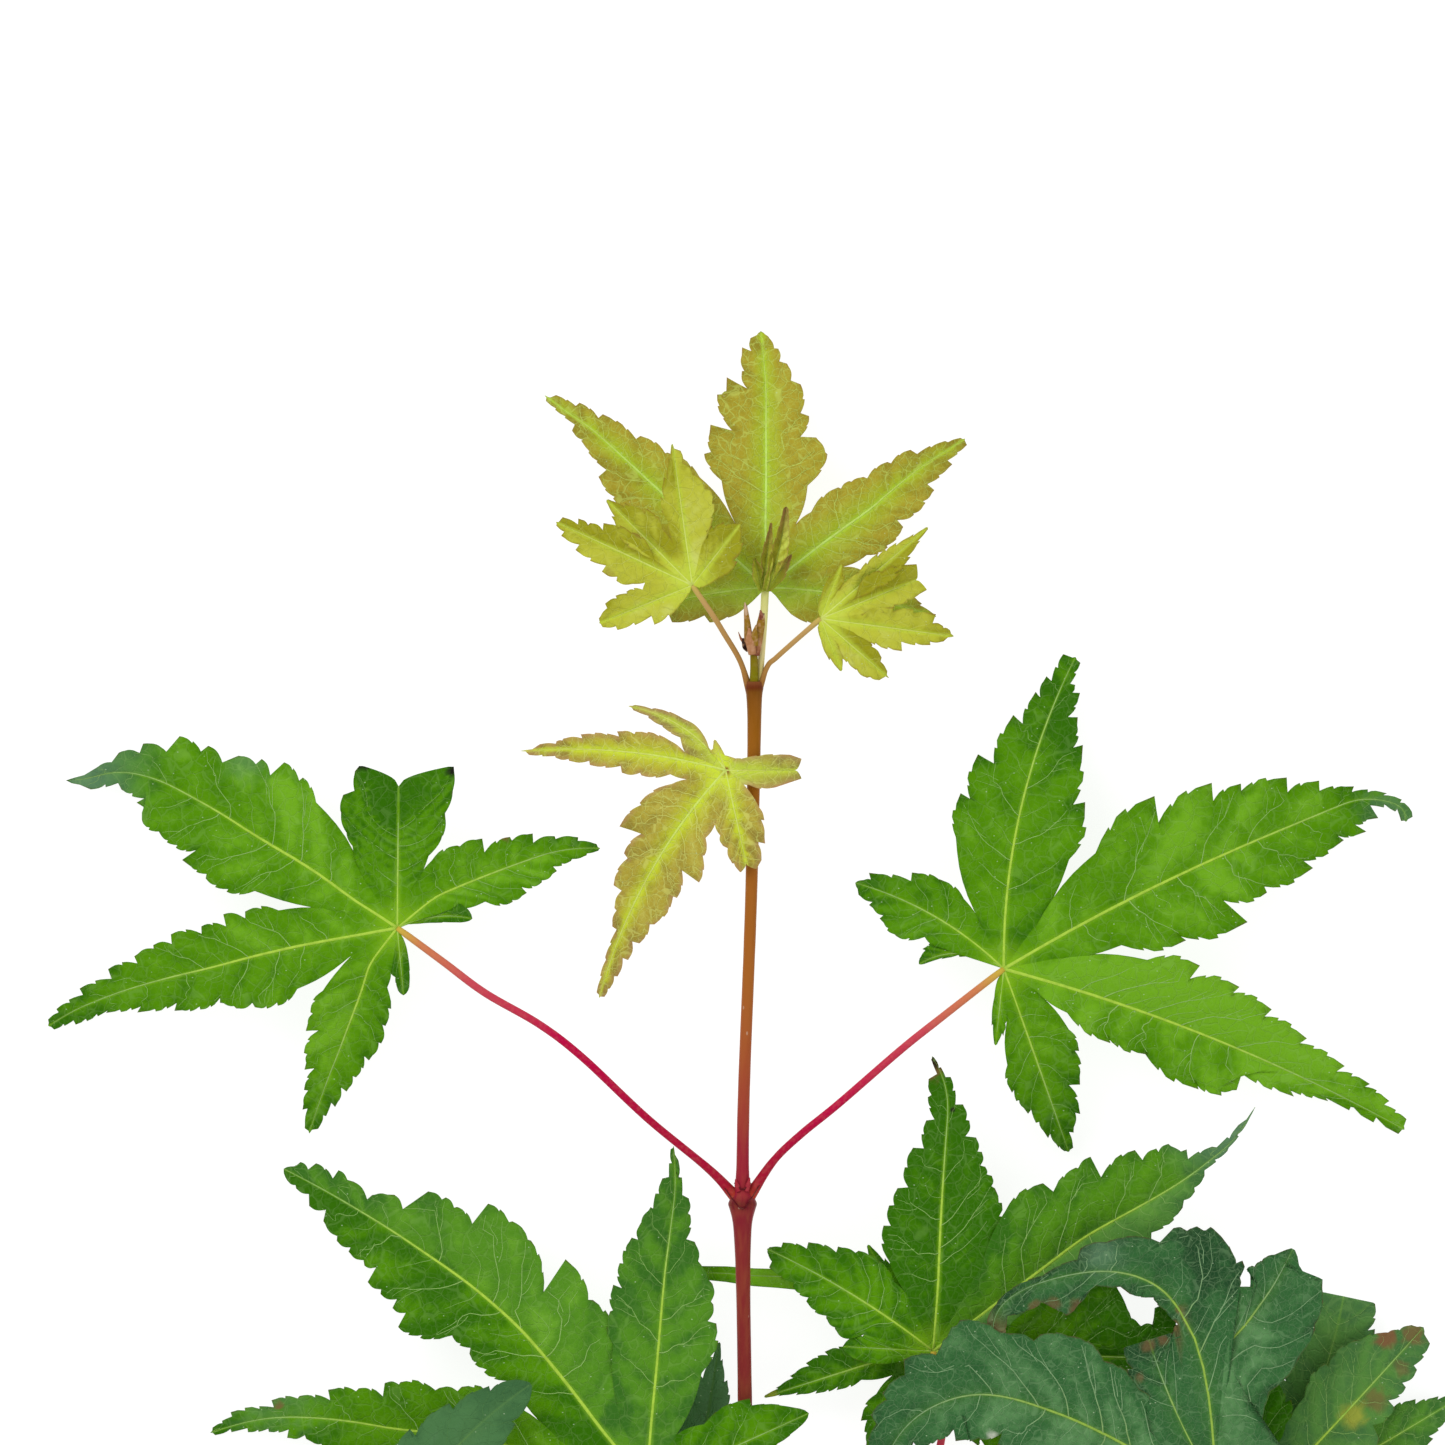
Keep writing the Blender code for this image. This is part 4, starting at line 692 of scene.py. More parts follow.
# Each leaf stalk: its place along the stem, the side it leaves on, the points that it passes from
# the stem to the blade, and its radii at the blade, midway and at its foot
STALKS = {
    "stalk_middle_left": (NODE_MIDDLE, -1,
                          ((-4.3, 4.1, 12.9), (-12.4, 10.8, 13.2), (-20.7, 18.6, 13.2), (-26.3, 22.9, 13.0),
                           (-33.4, 27.0, 12.8), (-38.8, 31.0, 12.5)), (0.45, 0.5, 0.8)),
    "stalk_middle_right": (NODE_MIDDLE, 1,
                           ((4.0, 5.2, 12.9), (7.6, 8.7, 13.2), (12.4, 12.6, 13.2), (20.5, 19.6, 12.9),
                            (25.8, 23.8, 12.5)), (0.45, 0.5, 0.8)),
    "stalk_top_left": (NODE_TOP, -1,
                       ((-0.3, 70.0, 14.2), (-2.4, 73.6, 15.0), (-3.9, 76.0, 15.7)), (0.35, 0.36, 0.5)),
    "stalk_top_right": (NODE_TOP, 1,
                        ((3.2, 69.3, 14.2), (4.4, 70.5, 14.6), (7.2, 73.0, 15.4)), (0.36, 0.34, 0.45)),
    "stalk_low_left": (NODE_LOW, -1, ((-5.5, -44.0, 7.6),), (0.5, 0.5, 0.75)),
    "stalk_low_right": (NODE_LOW, 1, ((15.5, -44.0, 6.0), (25.4, -33.2, 8.2)), (0.5, 0.5, 0.75)),
    "stalk_shaded": (NODE_DARK, -1, ((-23.7, -55.3, 8.6),), (0.5, 0.5, 0.75)),
    "stalk_hooked": (NODE_DARK, 1, ((20.5, -53.6, 5.8), (45.2, -45.0, 11.4)), (0.5, 0.55, 0.75)),
    "stalk_behind_stem": (NODE_HIDDEN, -1, ((-3.9, -54.6, 2.0),), (0.45, 0.45, 0.6)),
    "stalk_scorched": (NODE_HIDDEN, 1, ((20.5, -60.5, 2.4), (46.5, -50.7, 3.8)), (0.5, 0.5, 0.7)),
    "stalk_under": (ABOVE_HIDDEN, 1, ((8.0, -53.0, 1.4), (17.0, -35.8, 2.0)), (0.45, 0.45, 0.6)),
    "stalk_edge": (NODE_BACK, 1, ((20.5, -67.0, 1.1), (46.5, -57.2, 1.5)), (0.45, 0.45, 0.6)),
}
STALK_STEPS = 72
STALK_SIDES = 18
# Shares of a stalk's length, which of its radii counts there, and how many times
STALK_PROFILE = ((0.0, 2, 1.05), (0.09, 1, 1.25), (0.18, 1, 1.0), (0.8, 1, 1.0), (0.97, 0, 1.0),
                 (1.0, 0, 0.8))
# Where a stalk starts inside the stem: share of its radius to the side, and places below the node
STALK_INSIDE = 0.55
STALK_BELOW = 0.9

# The stalk of the leaf in front passes behind the stem to the top node
FRONT_STALK = ((1.6, 64.6, 11.75), (1.4, 60.5, 11.65), (1.1, 56.6, 11.5), (-0.2, 55.6, 12.1),
               (-1.7, 55.8, 13.6), (-2.2, 55.9, 14.8))
FRONT_STALK_RADIUS = 0.35

# The short shoot tip: tubes from point to point with their radii
TIP_INTERNODE = ((2.2, 67.0, 13.6), (2.5, 71.5, 13.9), (2.75, 75.6, 13.8), (2.95, 79.5, 13.3))
TIP_RADII = (0.4, 0.45, 0.5, 0.5)
BUD_STALK = ((1.45, 66.6, 14.0), (1.5, 69.0, 14.4), (1.45, 71.4, 14.8))
BUD_STALK_RADII = (0.6, 0.52, 0.48)
BUD_SCALES = {
    "bud_scale_left": (((1.2, 71.0, 14.9), (0.8, 72.8, 15.5), (0.6, 75.0, 15.9), (0.35, 77.3, 16.2)),
                       (0.45, 0.6, 0.42, 0.22)),
    "bud_scale_right": (((1.7, 70.8, 15.0), (2.0, 72.8, 15.5), (2.35, 74.8, 15.9), (2.5, 76.2, 16.2)),
                        (0.5, 0.62, 0.55, 0.35)),
}
TIP_STEPS = 24
SCALE_FLATNESS = 0.6

# Shreds of withered scale beside them: points, radii and place on the scales' range of colours
BUD_SHREDS = (
    (((1.25, 70.9, 15.6), (1.0, 72.6, 16.1), (0.85, 74.3, 16.3)), (0.5, 0.65, 0.15), 0.25),
    (((1.7, 72.0, 16.0), (1.55, 73.4, 16.4), (1.75, 74.7, 16.4)), (0.35, 0.45, 0.08), 0.5),
    (((0.75, 71.4, 15.2), (0.3, 71.9, 15.4), (0.0, 73.0, 15.5)), (0.3, 0.35, 0.15), 1.0),
    (((0.2, 72.4, 15.4), (-0.2, 72.9, 15.5), (-0.55, 73.8, 15.6)), (0.2, 0.16, 0.04), 0.1),
    (((2.35, 75.4, 16.2), (2.4, 76.0, 16.4), (2.3, 76.6, 16.4)), (0.25, 0.28, 0.1), 0.0),
    (((0.5, 75.6, 16.0), (0.42, 76.6, 16.4), (0.3, 77.6, 16.4)), (0.12, 0.2, 0.08), 0.93),
)

# Small side buds in the angles of the middle pair's stalks, and the scars round that node
AXIL_BUDS = (((-0.5, 1.3, 13.7), (-0.95, 2.9, 13.7)), ((0.5, 1.3, 13.7), (0.95, 3.1, 13.7)))
AXIL_BUD_RADII = (0.3, 0.34, 0.05)
NODE_SCARS = (
    ((-2.3, 1.7, 13.3), (-1.2, 0.2, 14.1), (0.0, -0.9, 14.4), (1.1, 0.4, 14.1), (2.2, 2.1, 13.3)),
    ((-1.1, 2.4, 13.7), (0.0, 1.6, 14.0), (1.1, 2.4, 13.7)),
)
SCAR_RADII = (0.07, 0.12, 0.07)
SCAR_SIDES = 8

# Colours of stem, stalks and bud from their foot, at 0, to their end, at 1
STEM_STOPS = ((0.0, (0.18, 0.022, 0.020)), (0.38, (0.22, 0.020, 0.024)), (0.52, (0.22, 0.012, 0.028)),
              (0.555, (0.13, 0.004, 0.016)), (0.60, (0.30, 0.007, 0.036)), (0.68, (0.30, 0.012, 0.034)),
              (0.73, (0.34, 0.06, 0.028)), (0.78, (0.36, 0.11, 0.018)), (0.90, (0.29, 0.10, 0.006)),
              (0.98, (0.17, 0.055, 0.004)), (0.99, (0.12, 0.015, 0.005)), (1.0, (0.20, 0.06, 0.02)))
RED_STOPS = ((0.0, (0.42, 0.05, 0.02)), (0.07, (0.34, 0.006, 0.03)), (0.5, (0.47, 0.0, 0.055)),
             (0.76, (0.56, 0.06, 0.09)), (0.93, (0.60, 0.20, 0.08)), (1.0, (0.58, 0.44, 0.05)))
OLIVE_STOPS = ((0.0, (0.26, 0.10, 0.02)), (0.2, (0.38, 0.19, 0.05)), (0.85, (0.50, 0.31, 0.11)),
               (1.0, (0.55, 0.42, 0.10)))
PALE_STOPS = ((0.0, (0.46, 0.38, 0.08)), (0.3, (0.72, 0.64, 0.30)), (1.0, (0.62, 0.64, 0.20)))
GREEN_STOPS = ((0.0, (0.14, 0.07, 0.005)), (0.3, (0.19, 0.17, 0.004)), (1.0, (0.22, 0.15, 0.01)))
BUD_STOPS = ((0.0, (0.20, 0.05, 0.03)), (0.25, (0.40, 0.18, 0.08)), (0.5, (0.27, 0.15, 0.015)),
             (0.8, (0.27, 0.14, 0.015)), (0.93, (0.55, 0.38, 0.24)), (1.0, (0.02, 0.006, 0.006)))
SIDE_BUD_STOPS = ((0.0, (0.34, 0.02, 0.04)), (1.0, (0.10, 0.004, 0.012)))
STEM_STREAK = (0.42, 0.15, 0.04)
STEM_SPECK = (0.62, 0.42, 0.30)
STALK_STREAK = (0.62, 0.36, 0.22)
# How far bark's streaks and grain are drawn out along the stem, and how much its specks stand out
STREAK_STRETCH = (1.0, 0.12, 1.0)
GRAIN_STRETCH = (1.0, 0.2, 1.0)
SPECK_RISE = 0.8


def in_metres(point):
    """A place in millimetres from the middle node, as metres from the part's origin."""
    return (Vector(point) - ORIGIN) * MM


def direction(degrees):
    """The unit vector in plan that points at an angle from +X."""
    angle = math.radians(degrees)
    return Vector((math.cos(angle), math.sin(angle)))


def limited(value, least=0.0, most=1.0):
    """The value, or the nearer of the two limits if it lies past one."""
    return min(max(value, least), most)


def between(pairs, at):
    """The value at a place along a list of (place, value) pairs, straight between them."""
    for (start, first), (stop, second) in zip(pairs, pairs[1:]):
        if at <= stop:
            return first + (second - first) * (at - start) / (stop - start)
    return pairs[-1][1]


def ease(value, low, high):
    """Rises smoothly from 0 at the low value to 1 at the high one."""
    t = limited((value - low) / (high - low))
    return t * t * (3.0 - 2.0 * t)


def of_side(side, left, right):
    """What belongs to one side of a lobe."""
    return left if side > 0 else right


def smooth_route(points, steps):
    """Evenly dealt points on a smooth curve through the given ones."""
    points = [Vector(point) for point in points]
    padded = [points[0] * 2 - points[1], *points, points[-1] * 2 - points[-2]]
    route = []
    for step in range(steps + 1):
        place = step / steps * (len(points) - 1)
        span = min(int(place), len(points) - 2)
        t = place - span
        before, start, stop, after = padded[span:span + 4]
        route.append(0.5 * (2 * start + (stop - before) * t
                            + (2 * before - 5 * start + 4 * stop - after) * t ** 2
                            + (3 * start - before - 3 * stop + after) * t ** 3))
    return route


class Surface:
    """A Principled material put together from a few plain steps."""

    def __init__(self, name, roughness, specular):
        self.made = bpy.data.materials.new(name)
        self.made.use_nodes = True
        self.tree = self.made.node_tree
        self.shader = self.tree.nodes["Principled BSDF"]
        self.shader.inputs["Roughness"].default_value = roughness
        self.shader.inputs["Specular IOR Level"].default_value = specular
        self.shader.inputs["Specular Tint"].default_value = (*SHEEN_TINT, 1.0)
        self.places = {}

    def node(self, kind, **settings):
        """A new node of a kind, with its settings."""
        node = self.tree.nodes.new("ShaderNode" + kind)
        for name, value in settings.items():
            setattr(node, name, value)
        return node

    def feed(self, socket, value):
        """Links another node's output to a socket, or sets its plain value."""
        if isinstance(value, bpy.types.NodeSocket):
            self.tree.links.new(value, socket)
        elif value is not None:
            socket.default_value = value

    def place(self, stretch):
        """The surface's own coordinates in millimetres, scaled along each axis."""
        if stretch not in self.places:
            mapping = self.node("Mapping")
            mapping.inputs["Scale"].default_value = [part / MM for part in stretch]
            self.feed(mapping.inputs["Vector"], self.node("TexCoord").outputs["Object"])
            self.places[stretch] = mapping.outputs["Vector"]
        return self.places[stretch]

    def attribute(self, name):
        """A value that the mesh stores at its points."""
        return self.node("Attribute", attribute_name=name).outputs["Fac"]

    def math(self, operation, first, second):
        """The sum, product or largest of two values."""
        node = self.node("Math", operation=operation)
        self.feed(node.inputs[0], first)
        self.feed(node.inputs[1], second)
        return node.outputs[0]

    def step(self, value, low, high, first=0.0, last=1.0):
        """Goes smoothly from the first to the last value as the input passes low to high."""
        node = self.node("MapRange", interpolation_type="SMOOTHSTEP")
        for socket, part in zip(node.inputs, (value, low, high, first, last)):
            self.feed(socket, part)
        return node.outputs["Result"]

    def mix(self, factor, first, second):
        """A colour between two others."""
        node = self.node("Mix", data_type="RGBA")
        self.feed(node.inputs[0], factor)
        for socket, part in zip(node.inputs[6:8], (first, second)):
            self.feed(socket, (*part, 1.0) if isinstance(part, tuple) else part)
        return node.outputs[2]

    def lay(self, colour, mask, strength, other):
        """A colour with another laid over it where a mask is high."""
        return self.mix(self.math("MULTIPLY", mask, strength), colour, other)

    def noise(self, scale, detail, stretch=(1.0, 1.0, 1.0)):
        """Soft random values, with the given number of waves in a millimetre."""
        node = self.node("TexNoise")
        self.feed(node.inputs["Vector"], self.place(stretch))
        node.inputs["Scale"].default_value = scale
        node.inputs["Detail"].default_value = detail
        return node.outputs["Fac"]

    def patches(self, scale, detail, low, high, first=0.0, last=1.0, stretch=(1.0, 1.0, 1.0)):
        """Random patches: a smooth step over the given range of soft noise."""
        return self.step(self.noise(scale, detail, stretch), low, high, first, last)

    def cells(self, scale, feature, stretch=(1.0, 1.0, 0.0), warp=0.0):
        """Distances in random cells, with the given number in a millimetre and edges that wander."""
        place = self.place(stretch)
        if warp:
            wander = self.node("TexNoise")
            self.feed(wander.inputs["Vector"], place)
            wander.inputs["Scale"].default_value = scale
            moved = self.node("VectorMath", operation="MULTIPLY_ADD")
            self.feed(moved.inputs[0], wander.outputs["Color"])
            moved.inputs[1].default_value = (warp / scale, warp / scale, 0.0)
            self.feed(moved.inputs[2], place)
            place = moved.outputs["Vector"]
        node = self.node("TexVoronoi", feature=feature)
        self.feed(node.inputs["Vector"], place)
        node.inputs["Scale"].default_value = scale
        return node.outputs["Distance"]

    def ramp(self, value, stops):
        """A colour that changes along a value through the given stops."""
        node = self.node("ValToRGB")
        points = node.color_ramp.elements
        while len(points) < len(stops):
            points.new(0.5)
        for point, (where, colour) in zip(points, stops):
            point.position = where
            point.color = (*colour, 1.0)
        self.feed(node.inputs[0], value)
        return node.outputs["Color"]

    def finish(self, colour, bump=None, depth=0.0, roughness=None):
        """Feeds the shader its colour, its relief in millimetres and its roughness."""
        self.feed(self.shader.inputs["Base Color"], colour)
        if bump is not None:
            node = self.node("Bump")
            node.inputs["Distance"].default_value = depth * MM
            self.feed(node.inputs["Height"], bump)
            self.feed(self.shader.inputs["Normal"], node.outputs["Normal"])
        self.feed(self.shader.inputs["Roughness"], roughness)
        return self.made


def lamina_tone_and_shading(made, look):
    """How light or dark a place is: the lobe's tone and placed patches, partly painted light and shade,
    random patches, the painted shading of the pleats and a darker margin.
    """
    # Painted shading of the quilted relief: lighter on the domes between side veins, darker along them
    painted_pleat_shading = made.step(made.attribute("quilt"), 0.0, 1.0, -look.pleat, look.pleat)
    margin = made.step(made.attribute("edge"), *MARGIN_SHADE)
    tone = made.attribute("tone")
    for part in (made.patches(*PATCHES), made.patches(*MOTTLING), painted_pleat_shading, margin):
        tone = made.math("ADD", tone, part)
    return tone


def vein_net(made, size):
    """The net of small veins and the finer, fainter one inside it."""
    coarse = made.step(made.cells(size, "DISTANCE_TO_EDGE", warp=NET_WARP), *NET_BAND)
    fine = made.step(made.cells(FINE_NET * size, "DISTANCE_TO_EDGE", warp=NET_WARP), *FINE_BAND)
    return made.math("MAXIMUM", coarse, fine)


def with_margin(made, look, colour):
    """A blade's colour with its thin, broken edge and its tooth points."""
    edge = made.attribute("edge")
    rim = made.step(edge, 0.0, look.edge_wide, look.edge_mix, 0.0)
    colour = made.lay(colour, rim, made.patches(*BROKEN_RIM), look.edge)
    return made.lay(colour, made.attribute("point"), made.step(edge, *POINT_BAND), look.tooth)


def lamina_surface(name, look):
    """The skin of a blade: its tone with painted light and shade, glow along the ribs, net of small veins,
    edge, specks that are partly painted glints, a bluish grey that is partly painted sheen, and damage.
    """
    made = Surface(name, look.rough, look.specular)
    rib = made.attribute("rib")
    halo = made.step(rib, HALO_FROM, look.halo_wide, look.halo_mix, 0.0)
    glow = made.step(rib, GLOW_FROM, look.glow_wide, look.glow_mix, 0.0)
    heart = made.step(made.attribute("heart"), *HEART_BAND)
    speck = made.step(made.cells(*SPECKS_AND_GLINTS), *SPECK_AND_GLINT_BAND)
    tone = lamina_tone_and_shading(made, look)
    net = vein_net(made, look.net_size)
    colour = made.mix(halo, look.plain, look.halo)
    # The light and dark colours where the tone is high or low stand partly for painted light and shade
    colour = made.mix(made.step(tone, 0.0, 1.0), colour, look.light)
    colour = made.mix(made.step(tone, 0.0, -1.0), colour, look.dark)
    colour = made.mix(glow, colour, look.glow)
    colour = made.mix(heart, colour, look.glow)
    # Bluish grey, partly the leaves' underside and partly painted sheen, on curled tips and cool lobes
    colour = made.mix(made.attribute("dull"), colour, BLUISH_GREY_AND_SHEEN)
    colour = made.lay(colour, net, look.net, look.vein)
    colour = with_margin(made, look, colour)
    # Pale specks, partly dust and scratches and partly painted glints
    colour = made.mix(speck, colour, SPECK_AND_GLINT)
    for key, damage in DAMAGE.items():
        colour = made.mix(made.attribute(key), colour, damage)
    bump = made.math("ADD", made.noise(scale=3.2, detail=3.0), made.math("MULTIPLY", net, -NET_DEPTH))
    roughness = made.patches(*BLADE_GLOSS, look.rough - SMOOTHER, look.rough + ROUGHER)
    return made.finish(colour, bump, depth=0.06, roughness=roughness)


def vein_surface(name, look):
    """Ribs and side veins: yellow green where thick, nearer the blade's green where thin."""
    made = Surface(name, roughness=0.45, specular=0.12)
    colour = made.mix(made.step(made.attribute("size"), *VEIN_SIZES), look.vein, look.rib)
    colour = made.lay(colour, made.patches(*VEIN_STREAKS), STREAKS, look.plain)
    return made.finish(colour, made.noise(scale=4.0, detail=2.0), depth=0.02)


def stem_surface():
    """Smooth young bark: red below the middle leaves, orange brown above them, pale specks."""
    made = Surface("stem_bark", roughness=0.42, specular=0.1)
    streak = made.patches(*STEM_STREAKS, stretch=STREAK_STRETCH)
    speck = made.step(made.cells(*BARK_SPECKS), *BARK_SPECK_BAND)
    colour = made.ramp(made.attribute("along"), STEM_STOPS)
    colour = made.lay(colour, streak, BARK_STREAKS, STEM_STREAK)
    colour = made.mix(speck, colour, STEM_SPECK)
    grain = made.noise(scale=2.5, detail=3.0, stretch=GRAIN_STRETCH)
    rise = made.math("ADD", grain, made.math("MULTIPLY", speck, SPECK_RISE))
    return made.finish(colour, rise, depth=0.05)


def stalk_surface(name, stops, streaks=0.08):
    """A leaf stalk's skin, whose colour changes from its foot to the blade."""
    made = Surface(name, roughness=0.4, specular=0.06)
    colour = made.ramp(made.attribute("along"), stops)
    colour = made.lay(colour, made.patches(*STALK_STREAKS), streaks, STALK_STREAK)
    return made.finish(colour, made.noise(scale=3.0, detail=2.0), depth=0.03)


class Midrib:
    """A lobe's midrib in plan, walked from the base in short steps while its heading turns."""

    STEPS = 60
    SMOOTHINGS = 4

    def __init__(self, base, spec):
        half = spec.bend / 2
        straight = ((0.0, spec.heading - half), (1.0, spec.heading + half))
        self.turns = spec.turns or straight
        walk = [Vector((0.0, 0.0))]
        for step in range(self.STEPS):
            walk.append(walk[-1] + direction(between(self.turns, (step + 0.5) / self.STEPS)))
        scale = spec.reach / walk[-1].length
        self.points = [Vector(base[:2]) + place * scale for place in walk]

    def sway(self, offsets, cleft_share):
        """Moves the rib to its left by the offsets at shares of the way from cleft to tip."""
        span = 1.0 - cleft_share
        offsets = ((-cleft_share / span, 0.0), *offsets)
        moved = []
        for step, point in enumerate(self.points):
            left = direction(between(self.turns, step / self.STEPS) + RIGHT_ANGLE)
            moved.append(point + left * between(offsets, (step / self.STEPS - cleft_share) / span))
        for _ in range(self.SMOOTHINGS):
            inner = [(one + two + three) / 3 for one, two, three in zip(moved, moved[1:], moved[2:])]
            moved = [moved[0], *inner, moved[-1]]
        self.points = moved

    def at(self, share):
        """The place, forward direction and left-hand direction at a share of the length."""
        place = limited(share) * self.STEPS
        step = min(int(place), self.STEPS - 1)
        point = self.points[step].lerp(self.points[step + 1], place - step)
        ahead = self.points[min(step + 2, self.STEPS)] - self.points[max(step - 1, 0)]
        forward = ahead.normalized()
        return point, forward, Vector((-forward.y, forward.x))


class Tooth:
    """A large tooth of a lobe's edge between two notches."""

    def __init__(self, start, stop, notch, point, where, length, cut):
        self.start = start
        self.notch = notch
        self.point = point
        self.where = where
        self.stop = min(stop, where)
        self.long = (self.stop - start) * length
        self.length = length
        self.cut = cut
        self.swell = min(TOOTH_SWELL * self.long * (1.0 + cut) / 2, MOST_SWELL * (notch + point))

    def width(self, t):
        """The half-width at a share of the tooth."""
        swell = self.swell * math.sin(math.pi * t)
        return self.notch + (self.point - self.notch) * t + swell

    def halves(self):
        """The tooth as two, for a side that has fewer teeth than the other."""
        middle = (self.start + self.stop) / 2
        width = self.width(0.5)
        first = Tooth(self.start, middle, self.notch, width, middle, self.length, self.cut)
        low = width - SMALL_CUT * self.cut * self.long / 3
        return first, Tooth(middle, self.stop, low, self.point, self.where, self.length, self.cut)

    def rows(self):
        """Steps along the edge: share, half-width, lean ahead in millimetres and point mark."""
        number = 1 + sum(self.long > least for least in SMALL_FROM)
        small = self.long / number
        steps = []
        for index, rows in enumerate(SMALL_ROWS[number]):
            for row in range(rows):
                inside = TOOTH_POINT * row / (rows - 1)
                t = (index + inside) / number
                wide = self.width(t) - SMALL_CUT * self.cut * small * (1.0 - inside) ** 3 * (index > 0)
                lean = mark = 0.0
                if row == rows - 1:
                    lean = SMALL_LEAN * self.cut * small
                    mark = SMALL_MARK
                    if index == number - 1:
                        lean = (self.where - self.start) * self.length - t * self.long
                        mark = 1.0
                steps.append((self.start + (self.stop - self.start) * t, wide, lean, mark))
        return steps


class Lobe:
    """One lobe of a blade between its right-hand and left-hand clefts."""

    DROOP = 1.5
    CLEFT_SPAN = (0.08, 0.6)

    def __init__(self, blade, spec, right_cleft, left_cleft):
        self.blade = blade
        self.spec = spec
        self.rib = Midrib(blade.base, spec)
        self.clefts = {1: left_cleft, -1: right_cleft}
        along = direction(self.rib.turns[0][1])
        origin = Vector(blade.base[:2])
        reach = sum((cleft - origin).dot(along) for cleft in self.clefts.values()) / 2
        self.length = (self.rib.points[1] - self.rib.points[0]).length * Midrib.STEPS
        self.cleft_share = limited(reach / self.length, *self.CLEFT_SPAN)
        self.span = 1.0 - self.cleft_share
        self.free_length = self.length * self.span
        if spec.sway:
            self.rib.sway(spec.sway, self.cleft_share)
        self.teeth = {side: self.list_teeth(side) for side in SIDES}
        most = max(len(teeth) for teeth in self.teeth.values())
        for teeth in self.teeth.values():
            while len(teeth) < most:
                longest = max(range(len(teeth)), key=lambda number: teeth[number].long)
                teeth[longest:longest + 1] = teeth[longest].halves()
        self.lines = {side: self.inner_line(side) for side in SIDES}
        self.grids = {}

    def given(self, side):
        """What is given for a side: its largest half-width or its teeth."""
        return of_side(side, self.spec.left, self.spec.right)

    def end(self, side):
        """The half-width of a side at the lobe's end."""
        return of_side(side, *self.spec.end)

    def place(self, share):
        """The share of the rib's length at a share of the way from the cleft to the tip."""
        return self.cleft_share + self.span * share

    def half_width(self, side, share):
        """A side's half-width by rule at a share of the way from its cleft to its tip."""
        at_cleft = self.offset_at_cleft(side)[0]
        if self.spec.widths:
            return between(((0.0, at_cleft), *of_side(side, *self.spec.widths)), share)
        largest = self.given(side)
        end = self.end(side)
        peak = self.spec.peak
        if share < peak:
            return at_cleft + (largest - at_cleft) * math.sin(0.5 * math.pi * share / peak)
        fall = math.cos(0.5 * math.pi * (share - peak) / (1.0 - peak))
        return end + (largest - end) * max(fall, 0.0) ** self.spec.point

    def teeth_by_rule(self, side):
        """One side's large teeth as start, half-width at the notch and half-width at the point."""
        first = self.spec.start
        lengths = [TOOTH_RATIO ** tooth for tooth in range(self.spec.teeth)]
        pitch = (1.0 - first) / sum(lengths)
        starts = [first + pitch * sum(lengths[:tooth]) for tooth in range(len(lengths))]
        teeth = []
        for start, stop in zip(starts, [*starts[1:], 1.0]):
            notch = self.half_width(side, start) * (1.0 - TOOTH_DEPTH)
            teeth.append((start, notch, self.half_width(side, stop) * (1.0 + TOOTH_DEPTH / 2)))
        return teeth

    def list_teeth(self, side):
        """One side's large teeth from the cleft to the tip, as given or by rule."""
        given = self.given(side)
        if isinstance(given, float):
            given = self.teeth_by_rule(side)
        last = LAST_TOOTH
        if self.rounded():
            last = min(last, 1.0 - ROUND_ROOM * max(self.spec.end) / self.free_length)
        cut = self.spec.cut
        teeth = []
        for index, (start, notch, point, *where) in enumerate(given):
            inner = index + 1 < len(given)
            stop = given[index + 1][0] if inner else last
            plain = stop + OVERHANG * (stop - start) * cut * inner
            where = min(where[0] if where else plain, last)
            teeth.append(Tooth(start, stop, notch, point, where, self.free_length, cut))
        return teeth

    def rounded(self):
        """Whether the lobe ends in a narrow round tip rather than in two corners."""
        return max(self.spec.end) < ROUND_MOST and self.spec.ahead == 0.0

    def edge_steps(self, side):
        """The edge past the cleft: each step's share, half-width, lean and point mark."""
        at_cleft = self.offset_at_cleft(side)[0]
        first = self.teeth[side][0]
        steps = []
        for row in range(MARGIN_ROWS):
            t = row / MARGIN_ROWS
            swell = MARGIN_SWELL * first.start * first.length * math.sin(math.pi * t)
            steps.append((first.start * t, at_cleft + (first.notch - at_cleft) * t + swell, 0.0, 0.0))
        for tooth in self.teeth[side]:
            steps.extend(tooth.rows())
        last = self.teeth[side][-1].stop
        for t, part in ROUND_END if self.rounded() else BLUNT_END:
            steps.append((last + (1.0 - last) * t, self.end(side) * part, 0.0, SMALL_MARK))
        return steps

    def inner_line(self, side):
        """A smooth line just inside the notches, as (share, half-width) pairs."""
        notches = [(tooth.start, tooth.notch) for tooth in self.teeth[side]]
        return [(0.0, self.offset_at_cleft(side)[0]), *notches, (1.0, self.end(side))]

    def rib_height(self, share):
        """The midrib's height: level at the base and falling ever faster to the tip."""
        low = self.blade.base[2]
        return low + (self.spec.tip - low) * max(share, 0.0) ** self.DROOP

    def offset_at_cleft(self, side):
        """How far the cleft lies to the side of the midrib and ahead of its own row."""
        point, forward, left = self.rib.at(self.cleft_share)
        apart = self.clefts[side] - point
        return side * apart.dot(left), apart.dot(forward)

    def cleft_height(self, side):
        """The height that this side alone gives to its cleft."""
        return self.rib_height(self.cleft_share) + self.blade.fold * self.offset_at_cleft(side)[0]

    def vein_number(self, side, share):
        """Counts the side veins that reach the edge before a share: whole at each large tooth."""
        ends = self.vein_ends(side)
        if share <= ends[0]:
            return (share - ends[0]) / (ends[1] - ends[0])
        for number, (start, stop) in enumerate(zip(ends, ends[1:])):
            if share <= stop:
                return number + (share - start) / (stop - start)
        return len(ends) - 1.0

